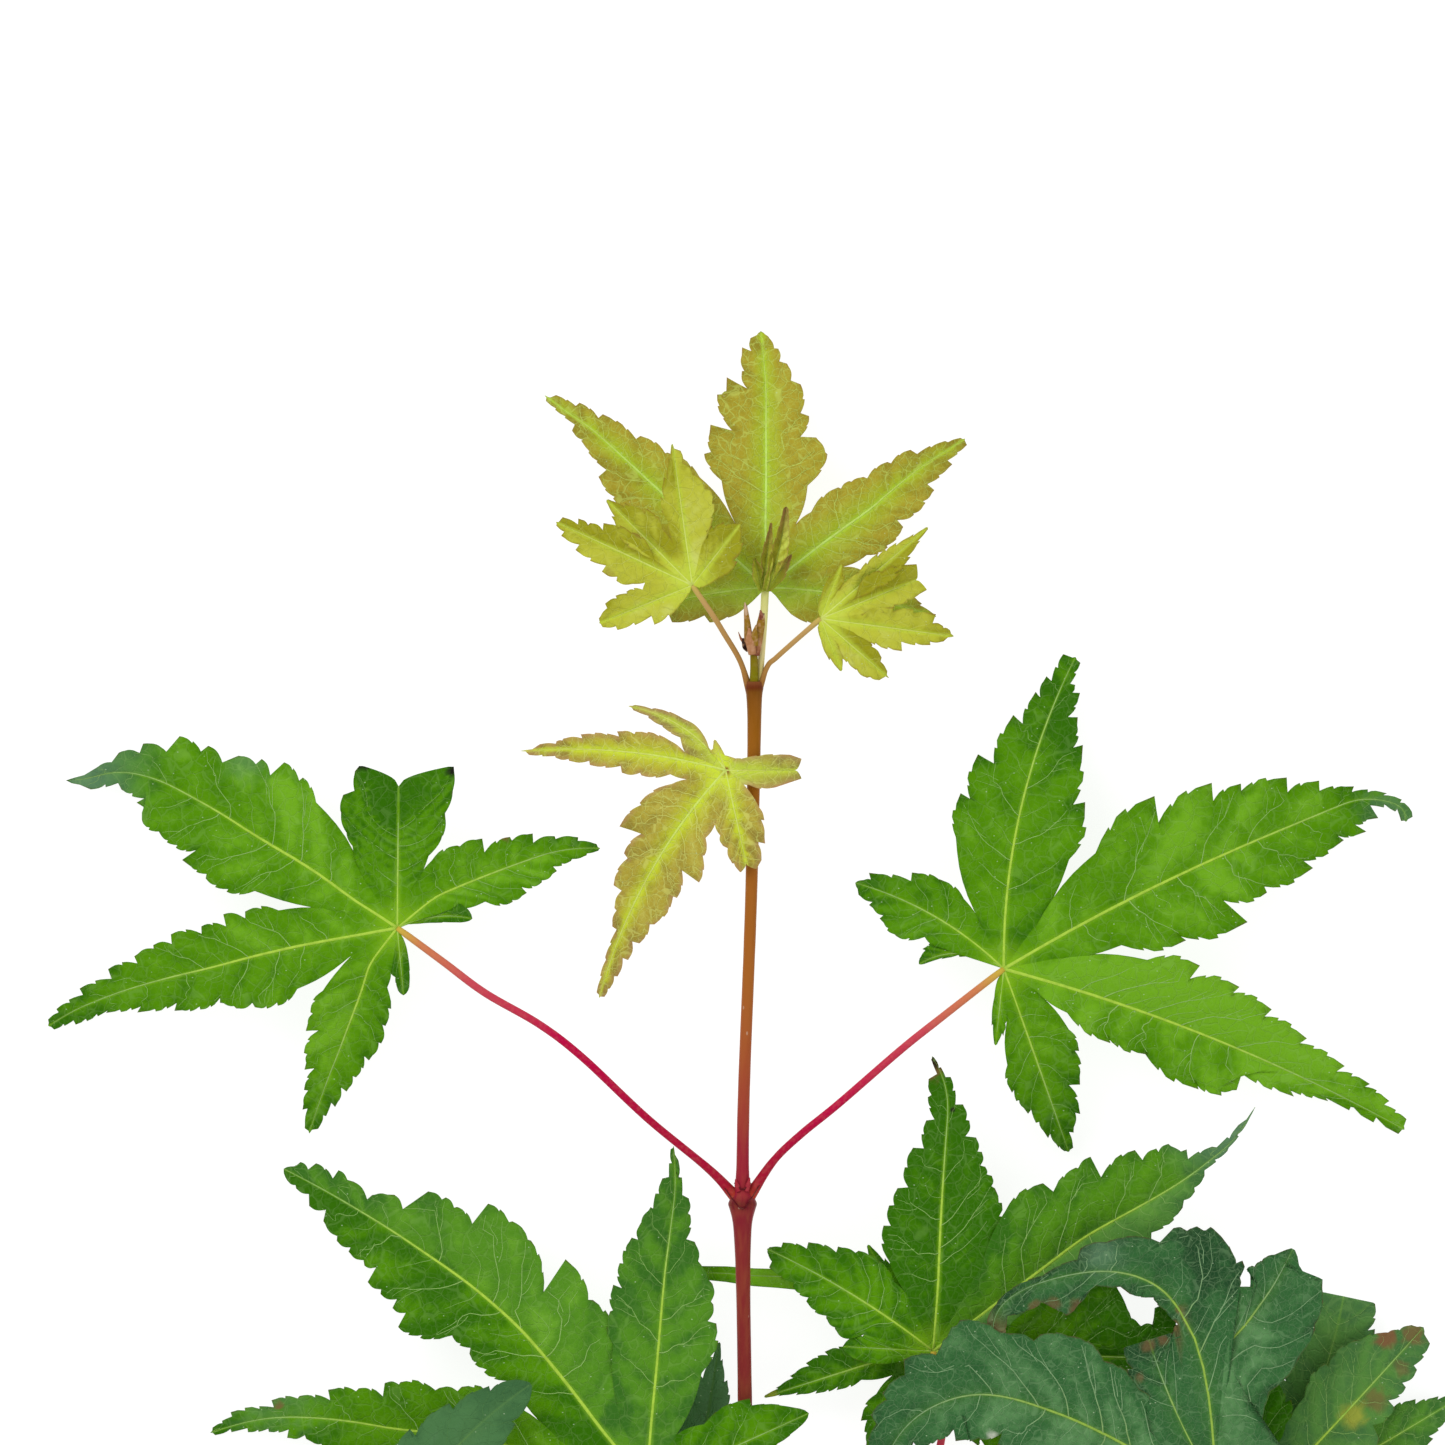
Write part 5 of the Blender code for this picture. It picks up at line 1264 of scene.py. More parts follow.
    def vein_ends(self, side):
        """The shares past the cleft where the side veins reach the points of the large teeth."""
        ends = []
        for tooth in reversed(self.teeth[side]):
            end = tooth.stop - VEIN_SHORT * (tooth.stop - tooth.start)
            if not ends or ends[0] - end > VEIN_APART:
                ends.insert(0, end)
        if len(ends) < 2:
            ends.insert(0, self.teeth[side][0].start)
        return [*ends, LAST_END]

    def advance(self, side, share, out):
        """How far ahead a side vein still gets on its way to the edge, as a share past the cleft."""
        width = between(self.lines[side], limited(share))
        return VEIN_SLANT * width * (1.0 - out ** VEIN_CURVE) / self.free_length

    def vein_place(self, side, end, out):
        """Where along the lobe a side vein that reaches the edge at the end stands.

        The advance depends on that place itself, so each round comes nearer to it.
        """
        share = end
        for _ in range(PLACE_ROUNDS):
            share = end - self.advance(side, share, out)
        return share

    def relief(self, side, share, out, width):
        """Arch, quilting and edge waves at a share past the cleft and a share of the width out."""
        number = self.vein_number(side, share + self.advance(side, share, out))
        dome = math.sin(math.pi * number) ** 2
        free = ease(share, 0.0, RELIEF_FROM)
        size = min(1.0, width / RELIEF_WIDTH)
        out = min(out, 1.0)
        seam = SEAM_ARCH * out * (1.0 - out) ** 2
        inside, across = QUILT_ACROSS
        height = ARCH * width * (seam + (math.sin(math.pi * out) - seam) * free)
        height += QUILT * dome * size * math.sin(math.pi * min(inside + out * across, 1.0)) * free
        height -= RIPPLE * math.cos(2.0 * math.pi * number) * out ** 2 * free * size
        return height, dome

    def waves(self, spot):
        """Slow unevenness of the whole blade, which fades at its base."""
        base = self.blade.base
        wave = noise.noise(Vector((spot.x, spot.y, base[0])) / UNDULATION_SIZE)
        return UNDULATION * wave * min((spot - Vector(base)).length / RELIEF_WIDTH, 1.0)

    def build_side(self, side, shared_height):
        """One half lobe as rows of points, each with its values for the surface."""
        cleft = Vector((*self.clefts[side], shared_height))
        lift = shared_height - self.cleft_height(side)
        rows = [*self.seam_rows(side, cleft), *self.free_rows(side, lift)]
        self.grids[side] = ([line for place, line in rows], [place for place, line in rows])

    def seam_rows(self, side, cleft):
        """The rows from the leaf's base to the cleft, where the lobe is grown to the next one."""
        base = Vector(self.blade.base)
        rows = []
        for row in range(SEAM_ROWS):
            place = self.cleft_share * row / SEAM_ROWS
            rib = Vector((*self.rib.at(place)[0], self.rib_height(place)))
            edge = base.lerp(cleft, row / SEAM_ROWS)
            to_cleft = (cleft - edge).length
            width = (edge - rib).length
            line = []
            for column in range(COLUMNS + 1):
                out = column / COLUMNS
                spot = rib.lerp(edge, out)
                spot.z += ARCH * width * SEAM_ARCH * out * (1.0 - out) ** 2
                line.append(self.corner(side, spot, place, out, width, to_cleft))
            rows.append((place, line))
        return rows

    def free_rows(self, side, lift):
        """The rows past the cleft, where the lobe has an edge of its own."""
        ahead = self.offset_at_cleft(side)[1]
        tip_ahead = self.spec.ahead
        rows = []
        for (share, wide, lean, mark), other in zip(self.edge_steps(side), self.edge_steps(-side)):
            place = self.place(share)
            rib_place = self.place((share + other[0]) / 2)
            rib_point = self.rib.at(rib_place)[0]
            rib = Vector((*rib_point, self.rib_height(rib_place)))
            point, forward, left = self.rib.at(place)
            width = between(self.lines[side], share)
            inner = min(INNER * width, INNER * wide)
            onward = ahead * (1.0 - share) ** CLEFT_FADE + tip_ahead * share ** 3
            edge = point + left * side * wide + forward * (onward + lean)
            inside = point + left * side * inner + forward * onward
            halfway = inside.lerp(edge, HALFWAY)
            if share == 1.0 and wide < POINTED_MOST:
                edge = inside = halfway = point
                width = wide = 0.0
            height = self.rib_height(place) + lift * (1.0 - share) ** 2
            line = []
            for column in range(COLUMNS + 1):
                if column < COLUMNS - 1:
                    u = column / (COLUMNS - 2)
                    spot = rib_point.lerp(inside, u)
                    spot += forward * tip_ahead * share ** BOW_CURVE * (u ** 0.5 - u)
                    across = inner * column / (COLUMNS - 2)
                else:
                    spot = edge if column == COLUMNS else halfway
                    across = wide if column == COLUMNS else inner + (wide - inner) * HALFWAY
                out = across / wide if wide else 0.0
                smooth = limited(across / width) if width else 0.0
                level = rib.z + (height - rib.z) * smooth + self.blade.fold * across
                bump, dome = self.relief(side, share, smooth, width)
                spot = Vector((*spot, level + bump))
                marked = mark * (column == COLUMNS)
                line.append(self.corner(side, spot, place, out, wide, 0.0, marked, dome))
            rows.append((place, line))
        return rows

    def corner(self, side, spot, place, out, width, to_cleft, mark=0.0, dome=0.0):
        """A point of the grid with the values that its surface reads."""
        spot.z += self.waves(spot)
        at_foot, taper = GLOW_TAPER
        # The tone holds the lobe's own lighter or darker green and painted light and shade of folded halves
        # and shaded lobes
        values = dict(rib=out * width / (at_foot - taper * place), edge=(1.0 - out) * width + to_cleft,
                      heart=(spot - Vector(self.blade.base)).length * (1.0 - self.spec.fresh),
                      tone=self.own("tone", side, out) - TIP_SHADE * ease(place, 0.5, 1.0),
                      dull=self.own("cool", side, out), point=mark, quilt=dome)
        # Pale tips take the bluish grey, partly the underside and partly painted sheen where they curl
        pale = self.spec.pale_tip
        if pale:
            values["dull"] = max(values["dull"], PALE * ease(place, pale, pale + PALE_SPAN))
        if self.spec.brown_tip:
            values["scorch"] = BROWN * ease(place, self.spec.brown_tip, 1.0)
        return spot, values

    def own(self, key, side, out):
        """A value of the lobe's own: one number, or one for each side that fades at the midrib."""
        given = getattr(self.spec, key)
        if isinstance(given, float):
            return given
        here, there = of_side(side, given, given[::-1])
        return (here + there) / 2 + (here - there) / 2 * ease(out, *SIDE_FADE)

    def on_surface(self, side, place, out):
        """A point on the blade at a share of the rib's length and a share of the way out."""
        grid, shares = self.grids[side]
        row = 0
        while row < len(shares) - 2 and shares[row + 1] < place:
            row += 1
        t = limited((place - shares[row]) / max(shares[row + 1] - shares[row], TINY))
        column = out / INNER * (COLUMNS - 2) if out < INNER else COLUMNS - 1.0
        low = min(int(column), COLUMNS - 1)
        u = column - low
        near = grid[row][low][0].lerp(grid[row][low + 1][0], u)
        far = grid[row + 1][low][0].lerp(grid[row + 1][low + 1][0], u)
        return near.lerp(far, t)


# Damage and patches that have a place, where the light and shade patches are partly painted light and shade
# and the bluish grey ones partly painted sheen: blade, kind, middle, radius and strength
MARKS = {
    "blade_middle_left": (
        ("char", (-49.3, 56.5), 0.9, 1.0), ("char", (-37.7, 55.8), 0.6, 1.0),
        ("scorch", (-30.8, 47.3), 0.6, 0.8), ("light", (-59.0, 52.5), 6.0, 0.35),
        ("shade", (-45.0, 50.0), 6.0, 0.4), ("dull", (-64.5, 57.5), 3.5, 0.4),
        ("light", (-27.0, 44.0), 5.0, 0.3), ("light", (-62.0, 20.0), 7.0, 0.4),
    ),
    "blade_middle_right": (
        ("shade", (53.0, 17.5), 5.0, 1.0),
        ("dull", (84.5, 50.5), 4.0, 0.5), ("light", (71.2, 16.3), 6.0, 0.5),
        ("light", (64.0, 40.0), 6.0, 0.4), ("shade", (47.0, 40.0), 4.0, 0.4),
        ("shade", (42.0, 62.0), 5.0, 0.4),
    ),
    "blade_low_left": (
        ("scorch", (-60.5, -27.3), 0.6, 0.7), ("light", (-50.0, -8.0), 6.0, 0.5),
        ("shade", (-58.0, 2.0), 6.0, 0.4), ("dull", (-62.0, -24.0), 8.0, 0.35),
        ("light", (-28.0, -22.0), 6.0, 0.4), ("shade", (-16.5, -28.0), 2.2, 1.2),
    ),
    "blade_low_right": (
        ("scorch", (24.6, 17.2), 1.6, 0.7), ("char", (24.4, 18.0), 1.5, 0.85),
        ("char", (27.4, 11.7), 0.3, 1.0),
        ("shade", (32.6, -4.5), 2.5, 1.6), ("dull", (66.5, 12.5), 2.5, 0.6),
        ("light", (42.0, 6.0), 5.0, 0.3), ("shade", (47.5, -14.0), 5.0, 0.6),
    ),
    "blade_hooked": (
        ("scorch", (43.4, -13.9), 1.3, 0.45), ("scorch", (37.8, -13.4), 0.8, 0.45),
        ("scorch", (40.2, -13.0), 0.9, 0.4), ("scorch", (52.5, -18.4), 0.9, 0.45),
        ("scorch", (54.4, -17.8), 0.7, 0.45), ("scorch", (55.9, -16.2), 0.8, 0.5),
        ("scorch", (56.6, -14.0), 0.7, 0.45), ("scorch", (51.5, -22.6), 0.5, 0.4),
        ("bleach", (32.4, -30.2), 0.6, 0.8), ("dull", (46.5, -6.8), 3.0, 0.6),
        ("light", (61.5, -24.0), 4.0, 0.3), ("shade", (60.0, -8.0), 5.0, 0.8),
        ("shade", (67.5, -25.0), 3.0, 0.7),
    ),
    "blade_under": (
        ("scorch", (7.5, -9.8), 0.8, 0.8), ("light", (16.3, -6.0), 2.0, 0.8),
        ("yellow", (2.8, -25.9), 1.6, 0.6),
    ),
    "blade_scorched": (
        ("scorch", (84.0, -18.0), 1.5, 0.85), ("scorch", (87.6, -17.8), 1.5, 0.6),
        ("scorch", (82.6, -26.2), 1.5, 0.5), ("scorch", (86.0, -22.0), 1.0, 0.4),
        ("yellow", (79.6, -28.2), 1.6, 0.7), ("dull", (78.0, -24.0), 5.0, 0.4),
    ),
    "blade_top_left": (
        ("shade", (-9.7, 85.2), 2.2, 0.35), ("shade", (-11.5, 83.8), 1.6, 0.3),
        ("shade", (-10.9, 89.3), 1.4, 0.3), ("scorch", (-0.3, 83.1), 0.8, 0.4),
        ("scorch", (-13.5, 86.4), 0.5, 0.4), ("scorch", (-17.2, 81.5), 0.7, 0.35),
        ("light", (-7.0, 82.0), 2.5, 0.5),
    ),
    "blade_top_right": (
        ("shade", (16.5, 82.0), 2.5, 0.25), ("light", (11.5, 76.5), 2.0, 0.5),
        ("yellow", (22.5, 81.0), 1.5, 0.3),
    ),
    "blade_top_front": (
        ("crimson", (-2.2, 55.9), 0.5, 0.8),
    ),
}
# A mark's ragged edge: waves in a millimetre and how far they move it. Then where the mark starts
# to fade and where it ends in its radii, with a soft start for the wide patches
MARK_WAVES = 1.3
MARK_RAGGED = 0.5
MARK_FADE = (0.6, 1.3)
PATCH_FADE = (0.1, 1.3)


def mark_values(name, spot, values):
    """A point's values with the damage and the patches, partly painted light, shade and sheen, that it lies
    in.
    """
    values = {**dict.fromkeys(DAMAGE, 0.0), **values}
    for kind, middle, radius, strength in MARKS.get(name, ()):
        apart = (spot.xy - Vector(middle)).length
        size = radius * (1.0 + MARK_RAGGED * noise.noise(spot * MARK_WAVES))
        fade_from, fade_to = MARK_FADE if kind in DAMAGE else PATCH_FADE
        amount = strength * (1.0 - ease(apart, fade_from * size, fade_to * size))
        # Light and shade patches add partly painted light and shade to the tone
        if kind in ("light", "shade"):
            values["tone"] += amount if kind == "light" else -amount
        else:
            values[kind] = max(values[kind], amount)
    return values


def make_object(name, vertices, faces, attributes, surface, sharp=()):
    """A piece of the shoot from points in millimetres, with values stored at its points."""
    mesh = bpy.data.meshes.new(name)
    mesh.from_pydata([in_metres(vertex) for vertex in vertices], [], faces)
    mesh.update(calc_edges=True)
    mesh.polygons.foreach_set("use_smooth", [True] * len(mesh.polygons))
    for key, values in attributes.items():
        mesh.attributes.new(key, "FLOAT", "POINT").data.foreach_set("value", values)
    marks = [edge.vertices[0] in sharp and edge.vertices[1] in sharp for edge in mesh.edges]
    mesh.attributes.new("sharp_edge", "BOOLEAN", "EDGE").data.foreach_set("value", marks)
    mesh.materials.append(surface)
    piece = bpy.data.objects.new(name, mesh)
    bpy.context.scene.collection.objects.link(piece)
    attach(piece, "root")
    return piece


def build_lobes(blade):
    """The lobes of a blade with the grids of both their halves."""
    origin = Vector(blade.base[:2])
    clefts = [origin + direction(angle) * far for far, angle in blade.clefts]
    closed = blade.clefts[0] == blade.clefts[-1]
    lobes = [Lobe(blade, spec, clefts[i], clefts[i + 1]) for i, spec in enumerate(blade.lobes)]
    for i, piece in enumerate(lobes):
        for side in SIDES:
            heights = [piece.cleft_height(side)]
            if closed or 0 <= i + side < len(lobes):
                heights.append(lobes[(i + side) % len(lobes)].cleft_height(-side))
            piece.build_side(side, sum(heights) / len(heights))
    return lobes


def plan_area(corners, spots):
    """Twice a triangle's area in plan, positive if it faces up."""
    one, two, three = (spots[corner] for corner in corners)
    return (two.x - one.x) * (three.y - one.y) - (two.y - one.y) * (three.x - one.x)


def convex_parts(face, spots):
    """A face as it is, or a four-sided one with a hollow corner as its two triangles."""
    if len(face) < 4:
        return [face]
    a, b, c, d = face
    halves = [([a, b, c], [a, c, d]), ([b, c, d], [b, d, a])]
    least = [min(plan_area(part, spots) for part in pair) for pair in halves]
    if min(least) > 0.0:
        return [face]
    return list(halves[0] if least[0] > least[1] else halves[1])


class Sheet:
    """The middle sheet of a blade: its points, the values at them and its faces, which face up."""

    def __init__(self, name, lobes):
        self.name = name
        self.points = []
        self.values = []
        self.faces = []
        self.index = {}
        for piece in lobes:
            for side in SIDES:
                self.add_grid(piece.grids[side][0], side)

    def number(self, spot, stored):
        """The number of a point, which is the same one for all points at that place."""
        key = tuple(round(part, 3) for part in spot)
        if key not in self.index:
            self.index[key] = len(self.points)
            self.points.append(spot)
            self.values.append(mark_values(self.name, spot, stored))
        return self.index[key]

    def add_grid(self, grid, side):
        """The faces of one half lobe, without those that close up to nothing."""
        numbers = [[self.number(*corner) for corner in line] for line in grid]
        for near, far in zip(numbers, numbers[1:]):
            for column in range(COLUMNS):
                corners = [near[column], near[column + 1], far[column + 1], far[column]]
                corners = of_side(side, corners[::-1], corners)
                corners = [c for c, before in zip(corners, corners[-1:] + corners) if c != before]
                if len(set(corners)) > 2:
                    self.faces.extend(convex_parts(corners, self.points))

    def rim(self):
        """The points on the open edge, whose sides belong to one face only."""
        uses = Counter(frozenset(pair) for face in self.faces for pair in zip(face, face[1:] + face[:1]))
        return {point for pair, count in uses.items() if count == 1 for point in pair}


def add_blade(name, blade, lobes, surface):
    """A blade as a thin closed shell whose faces meet in a sharp edge."""
    sheet = Sheet(name, lobes)
    rim = sheet.rim()
    half = LOOKS[blade.look].thick / 2 * UP
    vertices = [spot if i in rim else spot + half for i, spot in enumerate(sheet.points)]
    values = list(sheet.values)
    under = list(range(len(vertices)))
    for i, spot in enumerate(sheet.points):
        if i not in rim:
            under[i] = len(vertices)
            vertices.append(spot - half)
            values.append(values[i])
    faces = sheet.faces + [[under[corner] for corner in reversed(face)] for face in sheet.faces]
    stored = {key: [value[key] for value in values] for key in values[0]}
    piece = make_object(name + "_lamina", vertices, faces, stored, surface, rim)
    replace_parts(piece, name)
    return piece


class Tubes:
    """Round or flattened limbs gathered in one mesh."""

    def __init__(self):
        self.vertices = []
        self.faces = []
        self.values = {"size": [], "along": []}

    def add(self, route, radii, sides, flat=1.0, closed=True, colour=None):
        """One limb along a route, with a radius at each point and, if given, one place of colour."""
        start = len(self.vertices)
        for step, (point, radius) in enumerate(zip(route, radii)):
            ahead = route[min(step + 1, len(route) - 1)] - route[max(step - 1, 0)]
            ahead = ahead.normalized() if ahead.length > TINY else Vector((0.0, 1.0, 0.0))
            across = ahead.cross(UP).normalized()
            up = across.cross(ahead)
            for corner in range(sides):
                angle = 2.0 * math.pi * corner / sides
                offset = across * math.cos(angle) + up * math.sin(angle) * flat
                self.vertices.append(point + offset * radius)
                self.values["size"].append(radius)
                self.values["along"].append(step / (len(route) - 1) if colour is None else colour)
        for step in range(len(route) - 1):
            for corner in range(sides):
                low = start + step * sides
                after = (corner + 1) % sides
                self.faces.append((low + corner, low + after, low + sides + after, low + sides + corner))
        if closed:
            last = start + (len(route) - 1) * sides
            self.faces.append(tuple(range(start, start + sides))[::-1])
            self.faces.append(tuple(range(last, last + sides)))

    def piece(self, name, surface, slot):
        """The gathered limbs as a piece with the given surface. The slot is not used."""
        piece = make_object(name, self.vertices, self.faces, self.values, surface)
        return piece


def add_veins(name, blade, lobes, surface):
    """The midribs, side veins and their forks, half sunk in the blade's upper side."""
    look = LOOKS[blade.look]
    tubes = Tubes()
    rise = look.thick / 2 * UP
    most, power = RIB_TAPER
    for piece in lobes:
        thick = RIB_RADIUS + RIB_GROWTH * piece.spec.reach
        route = [line[0][0] + rise * RIB_RISE for line in piece.grids[1][0]]
        last = len(route) - 1
        radii = [thick * (1.0 - most * (step / last) ** power) for step in range(last + 1)]
        tubes.add(route, radii, RIB_SIDES, RIB_FLATNESS)
        for side in SIDES:
            add_side_veins(tubes, piece, side, thick * look.branch, rise)
    tubes.piece(name + "_veins", surface, look.slot)


def spaced_veins(piece, side):
    """One side's veins as their end, strength and reach, without those too near to the last.

    One stands before the first large tooth, one goes to each large tooth, and short ones stand
    between teeth that lie far apart.
    """
    ends = piece.vein_ends(side)
    veins = [(2 * ends[0] - ends[1], *FIRST_KIND), *((end, *WHOLE_KIND) for end in ends[:-1])]
    for one, two in zip(ends, ends[1:-1]):
        if (two - one) * piece.free_length > VEIN_ROOM:
            veins.append(((one + two) / 2, *SHORT_KIND))
    kept = []
    last_start, last_end = 0.0, -1.0
    for end, strength, reach in sorted(veins):
        start = piece.place(piece.vein_place(side, end, 0.0))
        free = (start - last_start) * piece.length >= VEIN_GAP / 2
        if start >= FIRST_VEIN and free and (end - last_end) * piece.free_length >= VEIN_GAP:
            kept.append((end, strength, reach))
            last_start, last_end = start, end
    return kept


def add_side_veins(tubes, piece, side, thick, rise):
    """One side's veins: whole ones to the large teeth, forks to the small, short ones between."""
    first, second = piece.vein_ends(side)[:2]
    apart = min(second - first, VEIN_ROOM / piece.free_length)
    outward, onward = WOBBLE_WAVES
    for end, strength, reach in spaced_veins(piece, side):
        width = between(piece.lines[side], limited(end))
        thinner = 1.0 - VEIN_THINNING * max(end, 0.0)
        radius = strength * thick * thinner * min(1.0, NARROW_SHARE + width / WIDE_LOBE)
        route = []
        for step in range(VEIN_STEPS + 1):
            out = reach * step / VEIN_STEPS
            waves = Vector((outward * out, onward * end, piece.spec.heading))
            share = piece.vein_place(side, end, out) + WOBBLE * noise.noise(waves) * out
            route.append(piece.on_surface(side, piece.place(share), out) + rise)
        radii = [radius * (1.0 - VEIN_TAPER * step / VEIN_STEPS) for step in range(VEIN_STEPS + 1)]
        tubes.add(route, radii, VEIN_SIDES, VEIN_FLATNESS, closed=False)
        if strength == 1.0 and width >= VEIN_ROOM and apart * piece.free_length >= FORK_ROOM:
            add_forks(tubes, piece, side, end, apart, radius, rise)


def add_forks(tubes, piece, side, end, apart, radius, rise):
    """The two forks of a side vein, which turn towards the small teeth before its own."""
    first, loss = FORK_RADII
    radii = [radius * (first - loss * step / FORK_STEPS) for step in range(FORK_STEPS + 1)]
    for fork, aim in FORKS:
        route = []
        for step in range(FORK_STEPS + 1):
            out = fork + (FORK_END - fork) * step / FORK_STEPS
            turned = aim * apart * ((out - fork) / (FORK_END - fork)) ** FORK_CURVE
            share = piece.vein_place(side, end, out) + turned
            route.append(piece.on_surface(side, piece.place(share), out) + rise)
        tubes.add(route, radii, VEIN_SIDES, VEIN_FLATNESS, closed=False)


def add_tube_piece(name, route, radii, sides, surface, slot):
    """One limb as its own piece, in place of the node with its name."""
    tubes = Tubes()
    tubes.add(route, radii, sides)
    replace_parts(tubes.piece(name + "_skin", surface, slot), name)


def stem_at(along):
    """The stem's axis and radius at a place along Y."""
    across, height, radius = (between([(row[0], row[part]) for row in STEM], along) for part in (1, 2, 3))
    return Vector((across, along, height)), radius


def bump_along(y, nodes, size, length):
    """How far the stem stands out at a place along Y, with a bump of a size at each node."""
    return sum(size * math.exp(-((y - node) / length) ** 2) for node in nodes)


def add_stem():
    """The stem with swollen, ringed nodes and slight unevenness."""
    route = smooth_route([(x, y, z, r) for y, x, z, r in STEM], STEM_STEPS)
    radii = []
    for point in route:
        swell = bump_along(point.y, SWELLINGS, SWELL, SWELL_LENGTH)
        ring = bump_along(point.y + RING_BEFORE, SWELLINGS, RING, RING_LENGTH)
        uneven = STEM_UNEVEN * noise.noise(Vector((point.y / UNEVEN_LENGTH, 0.0, 0.0)))
        radii.append(point.w * (1.0 + swell + ring + uneven))
    add_tube_piece("stem", [point.xyz for point in route], radii, STEM_SIDES, stem_surface(), "stem")


def add_stalks():
    """All leaf stalks, each from inside the stem to the ribs of its blade."""
    red = (stalk_surface("red_stalk_skin", RED_STOPS), "red_stalk")
    olive = (stalk_surface("olive_stalk_skin", OLIVE_STOPS), "young_stalk")
    for name, (along, side, passes, radii) in STALKS.items():
        axis, stem_radius = stem_at(along)
        foot = axis + Vector((side * stem_radius * STALK_INSIDE, -STALK_BELOW, 0.0))
        base = BLADES[name.replace("stalk", "blade")].base
        route = smooth_route([foot, *passes, base], STALK_STEPS)
        profile = [(place, radii[which] * times) for place, which, times in STALK_PROFILE]
        widths = [between(profile, step / STALK_STEPS) for step in range(STALK_STEPS + 1)]
        add_tube_piece(name, route, widths, STALK_SIDES, *(olive if "top" in name else red))
    route = smooth_route(FRONT_STALK, STALK_STEPS)
    add_tube_piece("stalk_top_front", route, [FRONT_STALK_RADIUS] * len(route), STALK_SIDES, *olive)


def shaped(points, radii):
    """A smooth route through a few points, and the radius at each of its steps."""
    pairs = [(place / (len(radii) - 1), radius) for place, radius in enumerate(radii)]
    route = smooth_route(points, TIP_STEPS)
    return route, [between(pairs, step / TIP_STEPS) for step in range(TIP_STEPS + 1)]


def add_bud_scales():
    """The bud's two scales, the left one with the withered shreds."""
    papery = stalk_surface("bud_scale_skin", BUD_STOPS, 0.5)
    for name, (points, radii) in BUD_SCALES.items():
        tubes = Tubes()
        tubes.add(*shaped(points, radii), STALK_SIDES, SCALE_FLATNESS)
        for points, radii, colour in BUD_SHREDS if name.endswith("left") else ():
            tubes.add(*shaped(points, radii), STALK_SIDES, SCALE_FLATNESS, colour=colour)
        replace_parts(tubes.piece(name + "_skin", papery, "bud"), name)


def add_node_buds():
    """The small side buds and the scars at the middle node."""
    tubes = Tubes()
    for points in AXIL_BUDS:
        tubes.add(*shaped(points, AXIL_BUD_RADII), STALK_SIDES, colour=0.0)
    for points in NODE_SCARS:
        tubes.add(*shaped(points, SCAR_RADII), SCAR_SIDES, colour=1.0)
    tubes.piece("node_buds", stalk_surface("side_bud_skin", SIDE_BUD_STOPS), "stem")


def add_shoot_tip():
    """The pale last internode, the bud's stalk, its scales, and the side buds."""
    for name, points, radii, stops in (("tip_internode", TIP_INTERNODE, TIP_RADII, PALE_STOPS),
                                       ("bud_stalk", BUD_STALK, BUD_STALK_RADII, GREEN_STOPS)):
        skin = stalk_surface(name + "_skin", stops)
        add_tube_piece(name, *shaped(points, radii), STALK_SIDES, skin, "pale_stalk")
    add_bud_scales()
    add_node_buds()


def add_leaves():
    """Every blade and folded leaflet with its veins."""
    skins = {key: lamina_surface(key + "_lamina", look) for key, look in LOOKS.items()}
    vein_skins = {key: vein_surface(key + "_veins", look) for key, look in LOOKS.items()}
    for name, blade in BLADES.items():
        lobes = build_lobes(blade)
        key = blade.look
        add_blade(name, blade, lobes, skins[key])
        add_veins(name, blade, lobes, vein_skins[key])


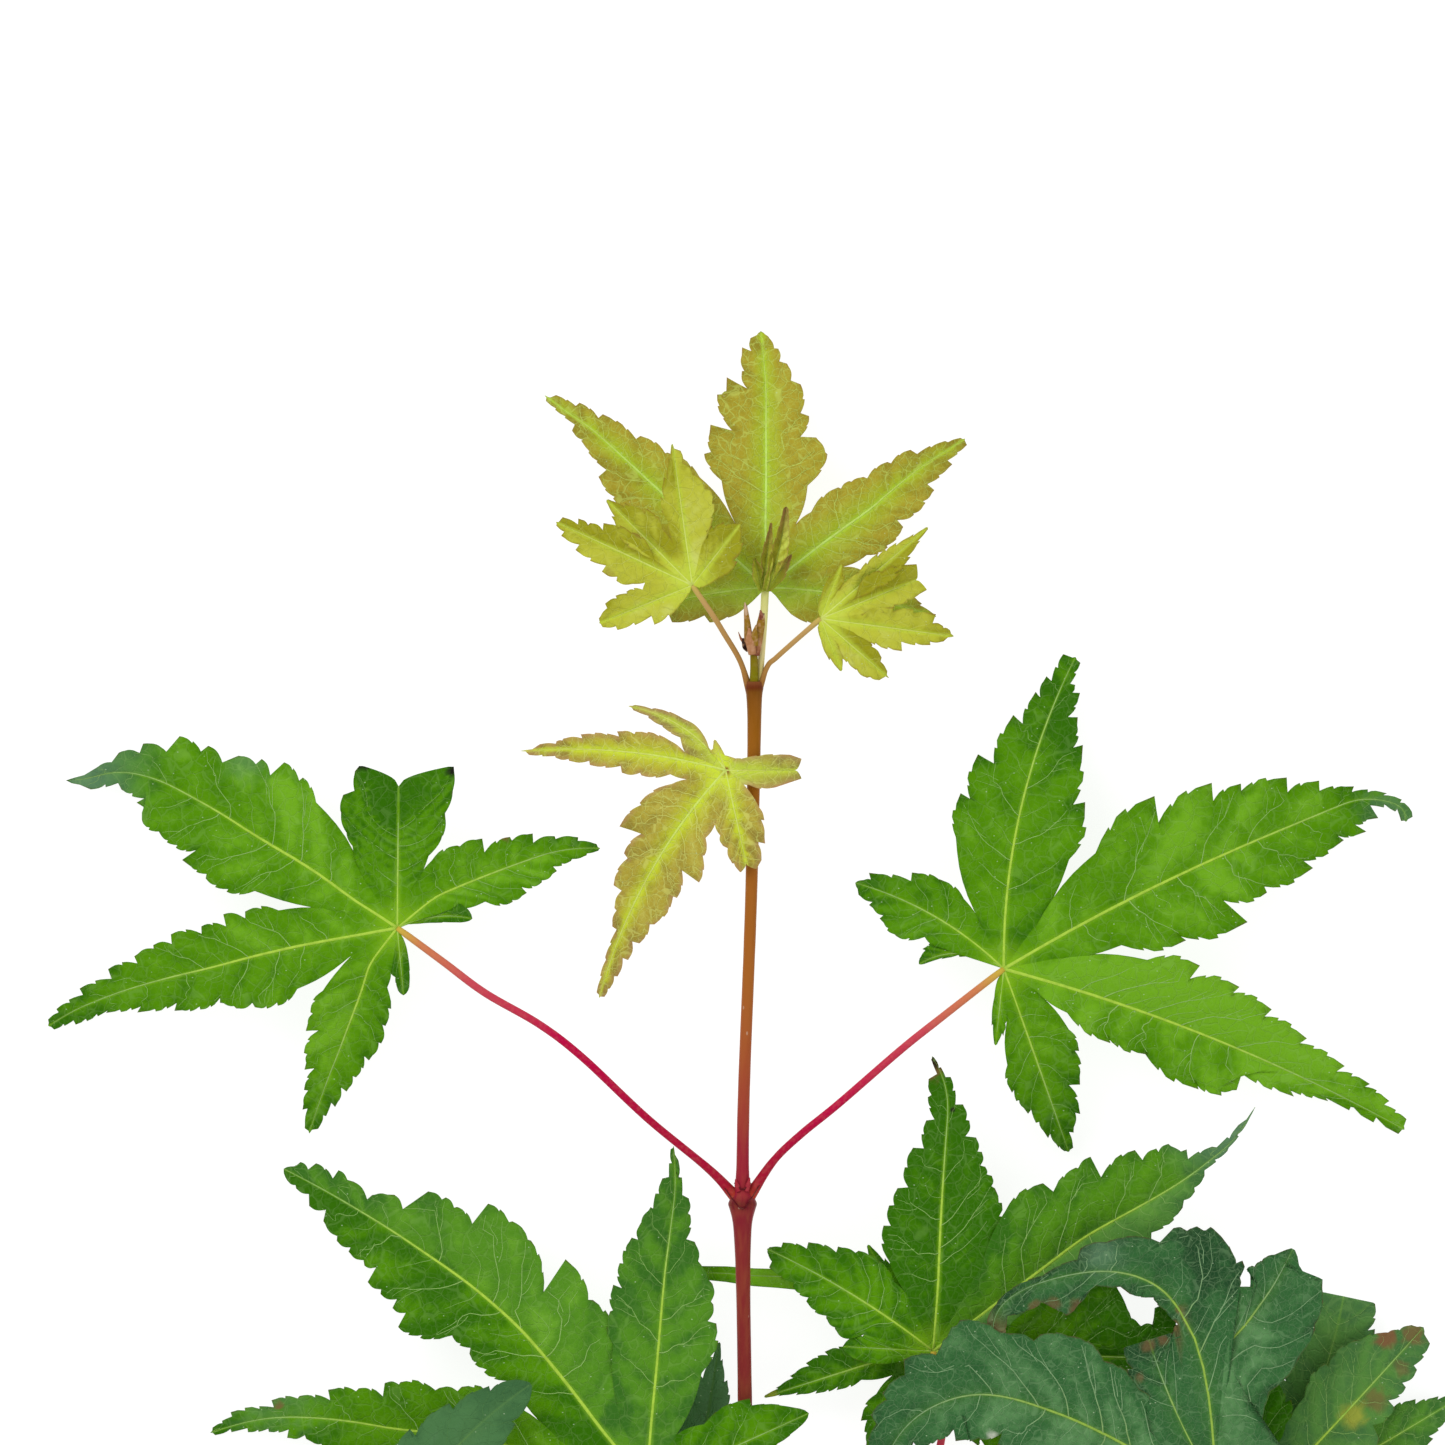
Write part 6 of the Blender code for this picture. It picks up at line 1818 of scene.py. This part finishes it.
def add_camera():
    """The camera, straight above the shoot at the photograph's framing."""
    data = bpy.data.cameras.new("camera")
    data.sensor_width = SENSOR
    data.lens = SENSOR * (CAMERA_HEIGHT - FRAME_HEIGHT) / FRAME_SIDE
    data.clip_end = CAMERA_REACH
    camera = bpy.data.objects.new("camera", data)
    camera.location = in_metres((*VIEW_CENTRE, CAMERA_HEIGHT))
    bpy.context.scene.collection.objects.link(camera)
    bpy.context.scene.camera = camera


def add_lamp(name, place, size, power):
    """A square soft light at a place in metres, turned to the part's origin."""
    data = bpy.data.lights.new(name, "AREA")
    data.shape = "SQUARE"
    data.size = size
    data.energy = power
    lamp = bpy.data.objects.new(name, data)
    lamp.location = place
    lamp.rotation_euler = (-Vector(place)).to_track_quat("-Z", "Y").to_euler()
    bpy.context.scene.collection.objects.link(lamp)


def add_studio():
    """A plain pale floor, even light from all round and the soft lamps."""
    half = FLOOR_SIDE / 2
    mesh = bpy.data.meshes.new("floor")
    mesh.from_pydata([(-half, -half, 0.0), (half, -half, 0.0), (half, half, 0.0), (-half, half, 0.0)],
                     [], [(0, 1, 2, 3)])
    made = Surface("floor_white", roughness=0.9, specular=0.05)
    made.shader.inputs["Emission Color"].default_value = WHITE
    made.shader.inputs["Emission Strength"].default_value = FLOOR_GLOW
    mesh.materials.append(made.finish((FLOOR_GREY, FLOOR_GREY, FLOOR_GREY, 1.0)))
    floor = bpy.data.objects.new("floor", mesh)
    bpy.context.scene.collection.objects.link(floor)
    world = bpy.data.worlds.new("studio")
    world.use_nodes = True
    background = world.node_tree.nodes["Background"]
    background.inputs["Color"].default_value = WHITE
    background.inputs["Strength"].default_value = ROOM_LIGHT
    bpy.context.scene.world = world
    for name, lamp in LAMPS.items():
        add_lamp(name, *lamp)
    bpy.context.scene.view_settings.view_transform = "Standard"


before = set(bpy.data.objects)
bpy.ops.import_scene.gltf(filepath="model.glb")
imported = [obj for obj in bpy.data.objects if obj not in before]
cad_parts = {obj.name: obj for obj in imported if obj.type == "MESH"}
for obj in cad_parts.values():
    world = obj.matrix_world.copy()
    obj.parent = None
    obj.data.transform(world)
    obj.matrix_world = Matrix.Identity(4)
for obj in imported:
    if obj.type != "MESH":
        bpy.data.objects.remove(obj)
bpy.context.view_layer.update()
add_camera()
add_studio()
add_leaves()
add_stem()
add_stalks()
add_shoot_tip()
